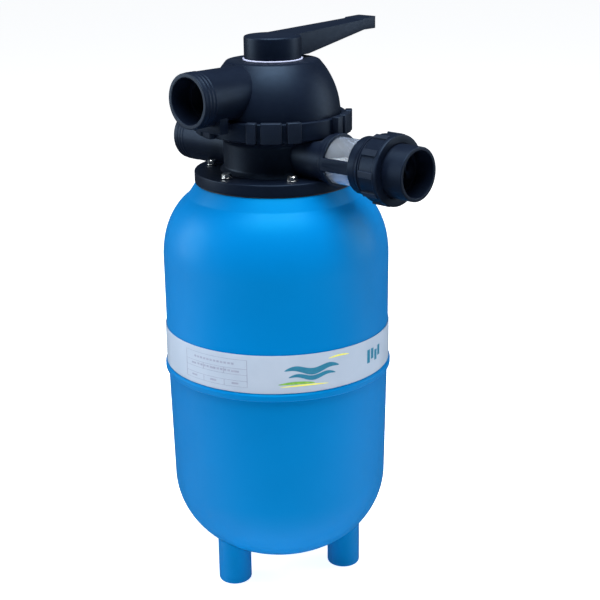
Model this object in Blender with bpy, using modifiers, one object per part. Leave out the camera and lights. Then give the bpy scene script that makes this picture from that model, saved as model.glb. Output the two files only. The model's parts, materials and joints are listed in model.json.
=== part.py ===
"""A top-mount sand filter tank with its selector valve, modelled in metres with +Z up.

The tank stands on three legs. The valve sits on its neck: a lower body with two side ports, a domed
upper body with the pump port, a ring nut that clamps them, and a lever handle on the rotor's stem.
Heights are above the floor, and radii are from the tank's axis unless a comment says otherwise.
"""

import math

import bmesh
import bpy
from mathutils import Matrix

# ---------------------------------------------------------------- driving dimensions, in metres
GAP = 0.0003  # between pieces that touch
TINY = 0.00001
OVERCUT = 0.010  # how far a cutter runs past the face that it opens
EDGE = 0.001  # small chamfers on turned edges

# Tank
TANK_RADIUS = 0.140
TANK_WALL = 0.004
BOWL_CLEARANCE = 0.029  # floor to the bowl's lowest point
BOWL_DEPTH = 0.1036
BOWL_FLAT_RADIUS = 0.0316
BOWL_FULLNESS = 1.95  # 2 is an ellipse, more is squarer
LOWER_WALL_HEIGHT = 0.1459
LOWER_WALL_INSET = 0.0034  # the lower wall's foot, in from the upper wall
LOWER_WALL_DRAFT = 0.0028  # how much wider the lower wall is at its top
SPIGOT_HEIGHT = 0.0215  # the lower shell's rim inside the upper shell
BEAD_HEIGHT = 0.0065
BEAD_PROUD = 0.003
UPPER_WALL_HEIGHT = 0.142
SHOULDER_RISE = 0.0903
SHOULDER_FULLNESS = 2.15
CREST_RADIUS = 0.067  # where the shoulder turns flat
NECK_PAD_RADIUS = 0.0965
NECK_FOOT_RADIUS = 0.107  # where the neck's cone meets the shoulder
NECK_PAD_RISE = 0.003  # above the crest
NECK_COLLAR_DEPTH = 0.0165
NECK_BORE = 0.045
LABEL_HEIGHT = 0.0474
LABEL_ABOVE_BEAD = 0.0005
LABEL_THICKNESS = 0.0008

# Legs
LEG_COUNT = 3
LEG_FIRST_ANGLE = -90
LEG_RADIUS = 0.021
LEG_WALL = 0.0032
LEG_FLOOR = 0.0115
LEG_EDGE = 0.003
LEG_CIRCLE = 0.085

# Filter bed and its pipework
SAND_DEPTH = 0.300  # above the bowl's inside floor
STANDPIPE_RADIUS = 0.0167
STANDPIPE_WALL = 0.003
STANDPIPE_REACH = 0.005  # how far it runs past the flange's underside
HUB_RADIUS = 0.026
HUB_HEIGHT = 0.034
HUB_CLEARANCE = 0.027  # bowl's inside floor to the hub's underside
HUB_SOCKET = 0.016
HUB_WATERWAY = 0.0125
LATERAL_COUNT = 6
LATERAL_RADIUS = 0.0075
LATERAL_WALL = 0.002
LATERAL_START = 0.0185
LATERAL_END = 0.100
LATERAL_RISE = 0.012  # hub's underside to the laterals' axis
DIFFUSER_RADIUS = 0.0425
DIFFUSER_WALL = 0.003
DIFFUSER_HEIGHT = 0.036
DIFFUSER_SLOT = 0.009

# Valve lower body: heights from its flange's underside
GASKET_THICKNESS = 0.0011
FLANGE_RADIUS = 0.098
FLANGE_THICKNESS = 0.014
THROAT_RADIUS = 0.0435
THROAT_DEPTH = 0.0165
THROAT_WALL = 0.0035
BODY_RADIUS = 0.062
BODY_WALL = 0.005
BODY_FLARE = 0.004  # how much the body widens at the flange and under the collar
COLLAR_TAPER = 0.006  # height of the cone under the collar
WELL_WALL = 0.0038
CHAMBER_FLOOR = 0.018
DECK_TOP = 0.0685
DECK_THICKNESS = 0.004
DECK_HOLE_RADIUS = 0.0095
DECK_HOLE_CIRCLE = 0.040
DECK_HOLE_COUNT = 6
COLLAR_RADIUS = 0.0815
COLLAR_HEIGHT = 0.015
COLLAR_ABOVE_DECK = 0.0065
THREAD_DEPTH = 0.0027
PORT_ABOVE_FLANGE = 0.006  # flange's underside to the underside of the side ports' pipe
BOLT_COUNT = 6
BOLT_FIRST_ANGLE = -30
BOLT_CIRCLE = 0.080
BOLT_RADIUS = 0.003
BOLT_HOLE_CLEARANCE = 0.0004
BOLT_HEAD_FLATS = 0.010
BOLT_HEAD_HEIGHT = 0.0045
BOLT_GRIP = 0.011  # how deep it runs into the neck
WASHER_RADIUS = 0.0065
WASHER_THICKNESS = 0.0012

# Ports: lengths from the valve's axis
PIPE_RADIUS = 0.0320
SOCKET_RADIUS = 0.0268
SOCKET_DEPTH = 0.0265
RIDGE_COUNT = 3
RIDGE_PITCH = 0.005
RIDGE_START = 0.004  # from the port's mouth
RIDGE_PROUD = 0.0008
RETURN_REACH = 0.150
PUMP_REACH = 0.1375
PUMP_BORE = 0.0225
PUMP_ROOT = 0.028  # where the pump port's pipe starts inside the dome
CONDUIT_RADIUS = 0.029
CONDUIT_ROOF = 0.003  # wall left between a side port's bore and the ring nut's space
STUB_CLEARANCE = 0.008  # from the ring nut's turning space to the stub's mouth
STUB_COLLAR = 0.0305
STUB_COLLAR_LENGTH = 0.0035

# Sight glass and union: lengths from the valve's axis
GLASS_RADIUS = 0.0275
GLASS_WALL = 0.0035
SEAL_SEAT_WIDTH = 0.004  # the step that the tube's outer O-ring lies against
GLASS_INSERT = 0.004  # how deep the tube sits in the stub
GLASS_LENGTH = 0.0555
ORING_GROOVE = 0.0035
CAGE_BAR_WIDTH = 0.015
CAGE_BAR_THICKNESS = 0.0036
CAGE_COLLAR_LENGTH = 0.0045
CAGE_LAP = 0.008  # how far the cage's end ring reaches back over the tube
CAGE_FLANGE_LENGTH = 0.010
CAGE_FLANGE_RADIUS = 0.0335
CAGE_THREAD_LENGTH = 0.026
CAGE_THREAD_RADIUS = 0.0352
CAGE_THREAD_PROUD = 0.0012
NUT_LENGTH = 0.026
NUT_OVERHANG = 0.013  # how far it reaches past the cage's end
NUT_LIP = 0.0058
NUT_RADIUS = 0.041
NUT_WALL = 0.0035
NUT_RIB_COUNT = 10
NUT_RIB_WIDTH = 0.008
NUT_RIB_PROUD = 0.0022
NUT_CLEARANCE = 0.0006
UNION_SEAL_SPACE = 0.0026
TAIL_FLANGE_LENGTH = 0.004
TAIL_FLANGE_RADIUS = 0.0355
TAIL_RADIUS = 0.031
TAIL_SOCKET_DEPTH = 0.0245
TAIL_LENGTH = 0.0382
UNION_ORING_RADIUS = 0.0013
UNION_ORING_INSET = 0.005  # the O-ring's middle, out from the bore

# Cover: heights from the flange's underside
COVER_FLANGE_BOTTOM = 0.0755
COVER_FLANGE_THICKNESS = 0.0042
COVER_SPIGOT_DEPTH = 0.006
COVER_SPIGOT_WALL = 0.0037
COVER_WALL = 0.0045
DOME_SETBACK = 0.0007  # the dome's base, in from the collar's thread root
DOME_TOP_RADIUS = 0.0555
DOME_ABOVE_PORT = 0.0011  # the dome's flat top over the pump port's pipe
DOME_CROWN = 0.005  # thickness of the dome's top
PUMP_RISE = 0.1121
STEM_BOSS_RADIUS = 0.016
STEM_BOSS_DEPTH = 0.0077
COVER_ORING_RADIUS = 0.0018
COVER_ORING_LAND = 0.005  # wall between the thread's root and the O-ring's recess
STEM_ORING_DEPTH = 0.0045  # the stem O-ring's groove, down from the dome's top
BRACE_WIDTH = 0.048
BRACE_LENGTH = 0.0135
BRACE_BOTTOM = 0.0725
BORE_START = 0.010  # how far the side ports' bores start outside the well

# Ring nut
RING_WALL = 0.0027
RING_HEIGHT = 0.0215
RING_LIP = 0.0025
RING_CLEARANCE = 0.0005
GRIP_PROUD = 0.0075  # how far the grips stand out from the ring
GRIP_RISE = 0.0025  # above the ring's top
GRIP_GROUPS = 5
GRIP_FIRST_ANGLE = -45
GRIP_ANGLES = (-16.5, -2, 14.7)
GRIP_WIDTHS = (0.0118, 0.0245, 0.0168)
RING_SWEEP_CLEARANCE = 0.0015

# Rotor, stem and handle
SPIDER_THICKNESS = 0.003
SPIDER_SPOKE = 0.005
ROTOR_RADIUS = 0.055
ROTOR_THICKNESS = 0.011
ROTOR_HUB_HEIGHT = 0.027
ROTOR_HUB_RADIUS = 0.0155
STEM_RADIUS = 0.0088
STEM_CLEARANCE = 0.0005
STEM_ORING_RADIUS = 0.0010
SPRING_WIRE = 0.0016  # radius
SPRING_RADIUS = 0.0125
SPRING_TURNS = 5
SPRING_WASHER_THICKNESS = 0.0015
HANDLE_WASHER_RADIUS = 0.036
HANDLE_WASHER_THICKNESS = 0.0016
HUB_DRUM_RADIUS = 0.0344
HUB_DRUM_HEIGHT = 0.0263
HUB_DRUM_CROWN = 0.0012
PIN_RISE = 0.013  # above the drum's underside
PIN_RADIUS = 0.0029
PIN_LENGTH = 0.060
PIN_END_ROOM = 0.0004  # past the pin, in the drum's blind end
STEM_SLOT_SWING = 0.003
STEM_HEADROOM = 0.007
STEM_SLOT_HEADROOM = 0.0025
LEVER_REACH = 0.1725
LEVER_ROOT_WIDTH = 0.046
LEVER_TIP_WIDTH = 0.029
LEVER_TIP_RISE = 0.0355  # drum's underside to the lever tip's top
LEVER_TIP_DEPTH = 0.0150
LEVER_HEEL = 0.040  # where the lever's underside leaves the drum's base
LEVER_KNEE = 0.147  # where the underside turns level
LEVER_CORNER = 0.006
TIP_BLOCK_LENGTH = 0.026
TIP_BLOCK_PROUD = 0.0012

# Faceting of the round pieces
TANK_STEPS = 36
VALVE_STEPS = 28
PIPE_STEPS = 20
SMALL_STEPS = 16
CROWN_POINTS = 6

# ---------------------------------------------------------------- heights and radii that follow
BOWL_BOTTOM = BOWL_CLEARANCE
KNUCKLE_Z = BOWL_BOTTOM + BOWL_DEPTH
SEAM_Z = KNUCKLE_Z + LOWER_WALL_HEIGHT
SHOULDER_Z = SEAM_Z + UPPER_WALL_HEIGHT
NECK_TOP = SHOULDER_Z + SHOULDER_RISE + NECK_PAD_RISE
VALVE_Z = NECK_TOP + GASKET_THICKNESS + 2 * GAP
FLANGE_TOP = VALVE_Z + FLANGE_THICKNESS
PORT_Z = VALVE_Z + PORT_ABOVE_FLANGE + PIPE_RADIUS
PUMP_Z = VALVE_Z + PUMP_RISE
DECK_Z = VALVE_Z + DECK_TOP
COLLAR_TOP = DECK_Z + COLLAR_ABOVE_DECK
COLLAR_BOTTOM = COLLAR_TOP - COLLAR_HEIGHT
LOWER_WALL_RADIUS = TANK_RADIUS - LOWER_WALL_INSET
LOWER_TOP_RADIUS = LOWER_WALL_RADIUS + LOWER_WALL_DRAFT
SPIGOT_RADIUS = TANK_RADIUS - TANK_WALL - GAP
SPIGOT_BORE = SPIGOT_RADIUS - TANK_WALL
BEAD_RADIUS = TANK_RADIUS + BEAD_PROUD
BOWL_FLOOR = BOWL_BOTTOM + TANK_WALL
HUB_BOTTOM = BOWL_FLOOR + HUB_CLEARANCE
HUB_TOP = HUB_BOTTOM + HUB_HEIGHT
LATERAL_Z = HUB_BOTTOM + LATERAL_RISE
SAND_TOP = BOWL_FLOOR + SAND_DEPTH
WELL_BORE = STANDPIPE_RADIUS + GAP
WELL_RADIUS = WELL_BORE + WELL_WALL
CHAMBER_RADIUS = BODY_RADIUS - BODY_WALL
COVER_FLANGE_Z = VALVE_Z + COVER_FLANGE_BOTTOM
COVER_FLANGE_TOP = COVER_FLANGE_Z + COVER_FLANGE_THICKNESS
DOME_TOP = PUMP_Z + PIPE_RADIUS + DOME_ABOVE_PORT
DOME_HEIGHT = DOME_TOP - COVER_FLANGE_TOP
DOME_RADIUS = COLLAR_RADIUS - DOME_SETBACK
RING_BORE = COLLAR_RADIUS + THREAD_DEPTH + 1.2 * RING_CLEARANCE
RING_RADIUS = RING_BORE + RING_WALL
RING_TOP = COVER_FLANGE_TOP + GAP + RING_LIP
RING_BOTTOM = RING_TOP - RING_HEIGHT
GRIP_RADIUS = RING_RADIUS + GRIP_PROUD
SWEEP_RADIUS = GRIP_RADIUS + RING_SWEEP_CLEARANCE
SWEEP_TOP = RING_TOP + GRIP_RISE + RING_SWEEP_CLEARANCE
SWEEP_BOTTOM = RING_BOTTOM - RING_SWEEP_CLEARANCE
CONDUIT_BORE = SWEEP_BOTTOM - PORT_Z - CONDUIT_ROOF
COVER_ORING_WIDTH = 2 * (COVER_ORING_RADIUS + GAP)
SPIGOT_OUTER = COLLAR_RADIUS - COVER_ORING_LAND - COVER_ORING_WIDTH
ORING_LEDGE_Z = COVER_FLANGE_Z - COVER_ORING_WIDTH
WASHER_TOP = DOME_TOP + GAP + HANDLE_WASHER_THICKNESS
DRUM_BOTTOM = WASHER_TOP + GAP
DRUM_TOP = DRUM_BOTTOM + HUB_DRUM_HEIGHT
PIN_Z = DRUM_BOTTOM + PIN_RISE
STEM_TOP = PIN_Z + STEM_HEADROOM
ROTOR_BOTTOM = DECK_Z + SPIDER_THICKNESS + 2 * GAP
ROTOR_HUB_TOP = ROTOR_BOTTOM + ROTOR_HUB_HEIGHT
BOSS_BOTTOM = DOME_TOP - DOME_CROWN - STEM_BOSS_DEPTH
SPRING_WASHER_BOTTOM = BOSS_BOTTOM - GAP - SPRING_WASHER_THICKNESS
STUB_REACH = SWEEP_RADIUS + STUB_CLEARANCE
GLASS_START = STUB_REACH - GLASS_INSERT
GLASS_END = GLASS_START + GLASS_LENGTH
GLASS_SEAT = GLASS_RADIUS + GAP
PIPE_BORE = GLASS_RADIUS - SEAL_SEAT_WIDTH
CAGE_START = STUB_REACH + GAP
CAGE_END_START = GLASS_END - CAGE_LAP
CAGE_FLANGE_END = CAGE_END_START + CAGE_FLANGE_LENGTH
CAGE_REACH = CAGE_FLANGE_END + CAGE_THREAD_LENGTH
NUT_REACH = CAGE_REACH + NUT_OVERHANG
NUT_START = NUT_REACH - NUT_LENGTH
TAIL_START = CAGE_REACH + UNION_SEAL_SPACE
UNION_REACH = TAIL_START + TAIL_LENGTH

# The tank's axis stands off the origin, because the ports and the lever reach out further on two
# sides: the origin is under the middle of the whole object's box.
AXIS_X = (max(BEAD_RADIUS, RETURN_REACH) - max(BEAD_RADIUS, UNION_REACH)) / 2
AXIS_Y = (max(BEAD_RADIUS, PUMP_REACH) - max(BEAD_RADIUS, LEVER_REACH)) / 2


# ---------------------------------------------------------------- scene, materials and axes
def clear_scene():
    for obj in list(bpy.data.objects):
        bpy.data.objects.remove(obj)


def new_collection(name):
    collection = bpy.data.collections.new(name)
    bpy.context.scene.collection.children.link(collection)
    return collection


def new_material(name, colour, roughness, metallic=0.0, transmission=0.0):
    material = bpy.data.materials.new(name)
    material.use_nodes = True
    shader = material.node_tree.nodes["Principled BSDF"]
    shader.inputs["Base Color"].default_value = (*colour, 1.0)
    shader.inputs["Roughness"].default_value = roughness
    shader.inputs["Metallic"].default_value = metallic
    shader.inputs["Transmission Weight"].default_value = transmission
    material.diffuse_color = (*colour, 1.0)
    return material


def new_axis(name, location, rotation=(0, 0, 0), parent=None):
    """An empty on a joint's or a pipe's axis. Its local Z runs along the axis."""
    empty = bpy.data.objects.new(name, None)
    empty.location = location
    empty.rotation_euler = rotation
    empty.empty_display_size = 0.03
    empty.parent = parent
    PARTS.objects.link(empty)
    return empty


clear_scene()
PARTS = new_collection("sand_filter_tank")
CUTTERS = new_collection("cutters")
TANK_BLUE = new_material("tank_blue", (0.0, 0.22, 0.62), 0.28)
VALVE_BLACK = new_material("valve_black", (0.012, 0.015, 0.020), 0.38)
LABEL_GREY = new_material("label_grey", (0.62, 0.68, 0.76), 0.40)
STEEL = new_material("stainless_steel", (0.62, 0.62, 0.60), 0.28, metallic=1.0)
RUBBER = new_material("seal_rubber", (0.02, 0.02, 0.02), 0.75)
CLEAR = new_material("clear_plastic", (0.85, 0.92, 0.97), 0.05, transmission=0.9)
PALE_PLASTIC = new_material("pale_plastic", (0.60, 0.62, 0.68), 0.45)
PIPE_WHITE = new_material("pipe_white", (0.78, 0.79, 0.78), 0.42)
SAND = new_material("sand", (0.55, 0.45, 0.30), 0.95)

TANK_AXIS = new_axis("tank_axis", (AXIS_X, AXIS_Y, 0))
UNION_AXIS = new_axis("union_axis", (0, 0, PORT_Z), (0, math.pi / 2, 0), TANK_AXIS)
RETURN_AXIS = new_axis("return_axis", (0, 0, PORT_Z), (0, -math.pi / 2, 0), TANK_AXIS)
PUMP_AXIS = new_axis("pump_axis", (0, 0, PUMP_Z), (math.pi / 2, 0, 0), TANK_AXIS)
PIN_AXIS = new_axis("pin_axis", (0, 0, PIN_Z), (0, 0, 0), TANK_AXIS)


# ---------------------------------------------------------------- tools
def place(name, mesh, material, parent, smooth=True):
    """A part, or a cutter where the material is None."""
    obj = bpy.data.objects.new(name, mesh)
    obj.parent = parent
    if material is None:
        CUTTERS.objects.link(obj)
        obj.hide_render = True
        obj.display_type = "WIRE"
        return obj
    PARTS.objects.link(obj)
    if not mesh.materials:
        mesh.materials.append(material)
    if smooth:
        mesh.shade_smooth()
        mesh.set_sharp_from_angle(angle=math.radians(35))
    return obj


def mesh_from(bm, name):
    mesh = bpy.data.meshes.new(name)
    bmesh.ops.recalc_face_normals(bm, faces=bm.faces)
    bm.to_mesh(mesh)
    bm.free()
    return mesh


def turned(name, profile, material=None, parent=TANK_AXIS, steps=VALVE_STEPS):
    """A profile of (radius, height) turned about local Z. It runs down its outer side. A profile
    that ends on the axis at both ends is left open there, and any other is closed into a loop."""
    mesh = bpy.data.meshes.new(name)
    count = len(profile)
    on_axis = profile[0][0] == 0 and profile[-1][0] == 0
    edges = [(i, i + 1) for i in range(count - 1)]
    if not on_axis:
        edges.append((count - 1, 0))
    mesh.from_pydata([(radius, 0, height) for radius, height in profile], edges, [])
    obj = place(name, mesh, material, parent, smooth=False)
    screw = obj.modifiers.new("Turn", "SCREW")
    screw.axis = "Z"
    screw.steps = steps
    screw.render_steps = steps
    screw.use_smooth_shade = False
    screw.use_merge_vertices = True
    screw.merge_threshold = TINY
    return obj


def ring_profile(inner, outer, bottom, top):
    return [(outer, top), (outer, bottom), (inner, bottom), (inner, top)]


def rod(name, radius, bottom, top, material=None, parent=TANK_AXIS, steps=SMALL_STEPS, at=(0, 0)):
    """A solid cylinder along local Z."""
    bm = bmesh.new()
    middle = Matrix.Translation((at[0], at[1], (bottom + top) / 2))
    bmesh.ops.create_cone(
        bm, cap_ends=True, segments=steps, radius1=radius, radius2=radius,
        depth=top - bottom, matrix=middle,
    )
    return place(name, mesh_from(bm, name), material, parent)


def round_pattern(name, radius, bottom, top, circle, count, first, steps=SMALL_STEPS):
    """Cutters: equal cylinders on a circle, as one mesh of separate solids."""
    bm = bmesh.new()
    for i in range(count):
        turn = Matrix.Rotation(math.radians(first + 360 * i / count), 4, "Z")
        middle = Matrix.Translation((circle, 0, (bottom + top) / 2))
        bmesh.ops.create_cone(
            bm, cap_ends=True, segments=steps, radius1=radius, radius2=radius,
            depth=top - bottom, matrix=turn @ middle,
        )
    return place(name, mesh_from(bm, name), None, TANK_AXIS)


def add_box(bm, low, high, turn=None):
    size = [b - a for a, b in zip(low, high)]
    middle = [(a + b) / 2 for a, b in zip(low, high)]
    matrix = Matrix.Translation(middle) @ Matrix.Diagonal((*size, 1))
    bmesh.ops.create_cube(bm, size=1.0, matrix=(turn or Matrix()) @ matrix)


def box(name, low, high, material=None, parent=TANK_AXIS):
    bm = bmesh.new()
    add_box(bm, low, high)
    return place(name, mesh_from(bm, name), material, parent, smooth=False)


def prism(name, outline, bottom, top, parent=TANK_AXIS, rotation=(0, 0, 0)):
    """A cutter or helper: a flat outline in local XY, extruded along local Z."""
    bm = bmesh.new()
    face = bm.faces.new([bm.verts.new((x, y, bottom)) for x, y in outline])
    grown = bmesh.ops.extrude_face_region(bm, geom=[face])
    raised = [v for v in grown["geom"] if isinstance(v, bmesh.types.BMVert)]
    bmesh.ops.translate(bm, verts=raised, vec=(0, 0, top - bottom))
    obj = place(name, mesh_from(bm, name), None, parent)
    obj.rotation_euler = rotation
    return obj


def boolean(obj, other, operation):
    modifier = obj.modifiers.new(f"{operation.title()} {other.name}", "BOOLEAN")
    modifier.operation = operation
    modifier.object = other
    modifier.solver = "EXACT"


def use_manifold_solver(obj):
    """For a piece with so many cuts that the exact solver leaves open edges in it."""
    for modifier in obj.modifiers:
        if modifier.type == "BOOLEAN":
            modifier.solver = "MANIFOLD"


def cut(obj, *others):
    for other in others:
        boolean(obj, other, "DIFFERENCE")


def fuse(obj, *others):
    for other in others:
        boolean(obj, other, "UNION")


def crown(flat_radius, wall_radius, base, rise, fullness, stop_radius=None):
    """Points (radius, height) of a dome from its base up to its flat top, or up to stop_radius."""
    reach = wall_radius - flat_radius
    end = math.pi / 2
    if stop_radius is not None:
        end = math.acos(((stop_radius - flat_radius) / reach) ** (fullness / 2))
    points = []
    for i in range(CROWN_POINTS):
        angle = end * i / (CROWN_POINTS - 1)
        radius = flat_radius + reach * max(math.cos(angle), 0) ** (2 / fullness)
        points.append((radius, base + rise * math.sin(angle) ** (2 / fullness)))
    return points


def ring_torus(name, major, minor, height, parent=TANK_AXIS, steps=PIPE_STEPS, sides=5):
    """An O-ring about local Z."""
    profile = []
    for i in range(sides):
        angle = math.radians(90 - 360 * (i + 0.5) / sides)
        profile.append((major + minor * math.cos(angle), height + minor * math.sin(angle)))
    return turned(name, profile, RUBBER, parent, steps)


# ---------------------------------------------------------------- tank
def shoulder_outline(inset, stop_radius):
    """The shoulder from its foot up, moved inwards by inset."""
    return crown(
        CREST_RADIUS, TANK_RADIUS - inset, SHOULDER_Z, SHOULDER_RISE - inset,
        SHOULDER_FULLNESS, stop_radius,
    )


def bowl_outline(inset):
    """The bowl from its knuckle down, moved inwards by inset."""
    rising = crown(
        BOWL_FLAT_RADIUS, LOWER_WALL_RADIUS - inset, 0, BOWL_DEPTH - inset, BOWL_FULLNESS,
    )
    return [(radius, KNUCKLE_Z - depth) for radius, depth in rising]


def build_upper_shell():
    outer = shoulder_outline(0, NECK_FOOT_RADIUS)
    inner = shoulder_outline(TANK_WALL, NECK_PAD_RADIUS + GAP)
    profile = [(NECK_BORE, NECK_TOP), (NECK_PAD_RADIUS, NECK_TOP)]
    profile += outer[::-1]
    profile += [
        (TANK_RADIUS, SEAM_Z + BEAD_HEIGHT + BEAD_PROUD),
        (BEAD_RADIUS, SEAM_Z + BEAD_HEIGHT),
        (BEAD_RADIUS, SEAM_Z),
        (TANK_RADIUS - TANK_WALL, SEAM_Z),
    ]
    profile += inner
    profile += [
        (NECK_PAD_RADIUS, NECK_TOP - NECK_COLLAR_DEPTH),
        (NECK_BORE, NECK_TOP - NECK_COLLAR_DEPTH),
    ]
    shell = turned("tank_upper_shell", profile, TANK_BLUE, steps=TANK_STEPS)
    cut(shell, round_pattern(
        "neck_bolt_holes", BOLT_RADIUS + BOLT_HOLE_CLEARANCE, NECK_TOP - BOLT_GRIP - 4 * GAP,
        NECK_TOP + OVERCUT, BOLT_CIRCLE, BOLT_COUNT, BOLT_FIRST_ANGLE, steps=8,
    ))


def build_lower_shell():
    top = SEAM_Z + SPIGOT_HEIGHT
    outside = [(0, top), (SPIGOT_RADIUS, top), (SPIGOT_RADIUS, SEAM_Z - GAP)]
    outside += [(LOWER_TOP_RADIUS, SEAM_Z - GAP)] + bowl_outline(0) + [(0, BOWL_BOTTOM)]
    shell = turned("tank_lower_shell", outside, TANK_BLUE, steps=TANK_STEPS)
    fuse(shell, round_pattern(
        "leg_bosses", LEG_RADIUS - LEG_WALL - GAP, LEG_FLOOR + GAP, KNUCKLE_Z - TANK_WALL,
        LEG_CIRCLE, LEG_COUNT, LEG_FIRST_ANGLE,
    ))
    step = SEAM_Z - TANK_WALL
    inside = [(0, top + OVERCUT), (SPIGOT_BORE, top + OVERCUT), (SPIGOT_BORE, step)]
    inside += [(LOWER_TOP_RADIUS - TANK_WALL, step - 2 * TANK_WALL)]
    inside += bowl_outline(TANK_WALL) + [(0, BOWL_FLOOR)]
    cut(shell, turned("tank_cavity", inside, steps=TANK_STEPS))


def build_legs():
    clearing = [(0, SEAM_Z), (LOWER_TOP_RADIUS, SEAM_Z)] + bowl_outline(-GAP)
    clearing += [(0, BOWL_BOTTOM - GAP)]
    bowl = turned("bowl_clearance", clearing, steps=TANK_STEPS)
    chamfer = 0.3 * LEG_EDGE
    profile = [(0, KNUCKLE_Z), (LEG_RADIUS, KNUCKLE_Z), (LEG_RADIUS, LEG_EDGE)]
    profile += [(LEG_RADIUS - chamfer, chamfer), (LEG_RADIUS - LEG_EDGE, 0), (0, 0)]
    for i in range(LEG_COUNT):
        angle = math.radians(LEG_FIRST_ANGLE + 360 * i / LEG_COUNT)
        spot = (LEG_CIRCLE * math.cos(angle), LEG_CIRCLE * math.sin(angle), 0)
        leg_axis = new_axis(f"leg_axis_{i + 1}", spot, (0, 0, angle), TANK_AXIS)
        leg = turned(f"leg_{i + 1}", profile, TANK_BLUE, leg_axis, SMALL_STEPS)
        socket = rod(f"leg_socket_{i + 1}", LEG_RADIUS - LEG_WALL, LEG_FLOOR, KNUCKLE_Z + OVERCUT,
                     parent=leg_axis)
        cut(leg, socket, bowl)


def build_label():
    bottom = SEAM_Z + BEAD_HEIGHT + BEAD_PROUD + LABEL_ABOVE_BEAD
    inner = TANK_RADIUS + GAP
    turned(
        "label_band", ring_profile(inner, inner + LABEL_THICKNESS, bottom, bottom + LABEL_HEIGHT),
        LABEL_GREY, steps=TANK_STEPS,
    )


# ---------------------------------------------------------------- filter bed and pipework
def lateral_axes(prefix):
    for i in range(LATERAL_COUNT):
        turn = math.radians(360 * i / LATERAL_COUNT)
        yield new_axis(f"{prefix}_{i + 1}", (0, 0, LATERAL_Z), (0, math.pi / 2, turn), TANK_AXIS)


def build_laterals():
    bore = LATERAL_RADIUS - LATERAL_WALL
    profile = [(0, LATERAL_END), (LATERAL_RADIUS, LATERAL_END), (LATERAL_RADIUS, LATERAL_START)]
    profile += [(bore, LATERAL_START), (bore, LATERAL_END - LATERAL_WALL)]
    profile += [(0, LATERAL_END - LATERAL_WALL)]
    for i, axis in enumerate(lateral_axes("lateral_axis")):
        turned(f"lateral_{i + 1}", profile, PALE_PLASTIC, axis, 12)


def build_lateral_hub():
    socket = STANDPIPE_RADIUS + GAP
    floor = HUB_BOTTOM + DIFFUSER_WALL
    profile = [
        (0, floor), (HUB_WATERWAY, floor), (HUB_WATERWAY, HUB_TOP - HUB_SOCKET),
        (socket, HUB_TOP - HUB_SOCKET), (socket, HUB_TOP), (HUB_RADIUS, HUB_TOP),
        (HUB_RADIUS, HUB_BOTTOM), (0, HUB_BOTTOM),
    ]
    hub = turned("lateral_hub", profile, PALE_PLASTIC, steps=PIPE_STEPS)
    for axis in lateral_axes("hub_socket_axis"):
        cut(hub, rod(
            f"{axis.name}_bore", LATERAL_RADIUS + GAP, HUB_WATERWAY * 0.6, HUB_RADIUS + OVERCUT,
            parent=axis, steps=12,
        ))


def build_standpipe():
    bottom = HUB_TOP - HUB_SOCKET + GAP
    profile = ring_profile(
        STANDPIPE_RADIUS - STANDPIPE_WALL, STANDPIPE_RADIUS, bottom, VALVE_Z + STANDPIPE_REACH,
    )
    turned("standpipe", profile, PIPE_WHITE, steps=PIPE_STEPS)


def build_sand():
    edge = min(SPIGOT_BORE, LOWER_WALL_RADIUS - TANK_WALL) - GAP
    inset = LOWER_WALL_RADIUS - edge
    profile = [(0, SAND_TOP), (edge, SAND_TOP)] + bowl_outline(inset)
    profile += [(0, KNUCKLE_Z - BOWL_DEPTH + inset)]
    sand = turned("sand_bed", profile, SAND, steps=TANK_STEPS)
    pipe = STANDPIPE_RADIUS + 2 * GAP
    hub = HUB_RADIUS + GAP
    core = [(0, SAND_TOP + OVERCUT), (pipe, SAND_TOP + OVERCUT), (pipe, HUB_TOP + GAP)]
    core += [(hub, HUB_TOP + GAP), (hub, HUB_BOTTOM - GAP), (0, HUB_BOTTOM - GAP)]
    cut(sand, turned("sand_core", core, steps=PIPE_STEPS))
    for axis in lateral_axes("sand_lateral_axis"):
        cut(sand, rod(
            f"{axis.name}_bore", LATERAL_RADIUS + 2 * GAP, LATERAL_START, LATERAL_END + GAP,
            parent=axis, steps=12,
        ))


def build_diffuser():
    top = VALVE_Z - THROAT_DEPTH - GAP
    bottom = top - DIFFUSER_HEIGHT
    inner = DIFFUSER_RADIUS - DIFFUSER_WALL
    bore = STANDPIPE_RADIUS + 2 * GAP
    floor = bottom + DIFFUSER_WALL
    profile = [(DIFFUSER_RADIUS, top), (DIFFUSER_RADIUS, bottom), (bore, bottom), (bore, floor)]
    profile += [(inner, floor), (inner, top)]
    diffuser = turned("top_diffuser", profile, PALE_PLASTIC)
    bm = bmesh.new()
    for i in range(8):
        turn = Matrix.Rotation(math.radians(22.5 + 45 * i), 4, "Z")
        low = (inner - 2 * DIFFUSER_WALL, -DIFFUSER_SLOT / 2, floor + DIFFUSER_WALL)
        high = (DIFFUSER_RADIUS + OVERCUT, DIFFUSER_SLOT / 2, top - 2 * DIFFUSER_WALL)
        add_box(bm, low, high, turn)
    cut(diffuser, place("diffuser_slots", mesh_from(bm, "diffuser_slots"), None, TANK_AXIS))


# ---------------------------------------------------------------- valve lower body
def threaded_wall(radius, top, bottom, count, proud):
    """An outer wall, from top to bottom, whose ridges stand for the thread."""
    pitch = (top - bottom) / count
    points = [(radius, top)]
    for i in range(count):
        points += [(radius + proud, top - pitch * (i + 0.5)), (radius, top - pitch * (i + 1))]
    return points


def pipe_profile(root, reach, radius):
    """A port's outside, with ridges near its mouth. Heights here run along the port's axis."""
    start = reach - RIDGE_START
    ridges = threaded_wall(radius, start, start - RIDGE_COUNT * RIDGE_PITCH, RIDGE_COUNT, RIDGE_PROUD)
    return [(0, reach), (radius, reach)] + ridges + [(radius, root), (0, root)]


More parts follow.
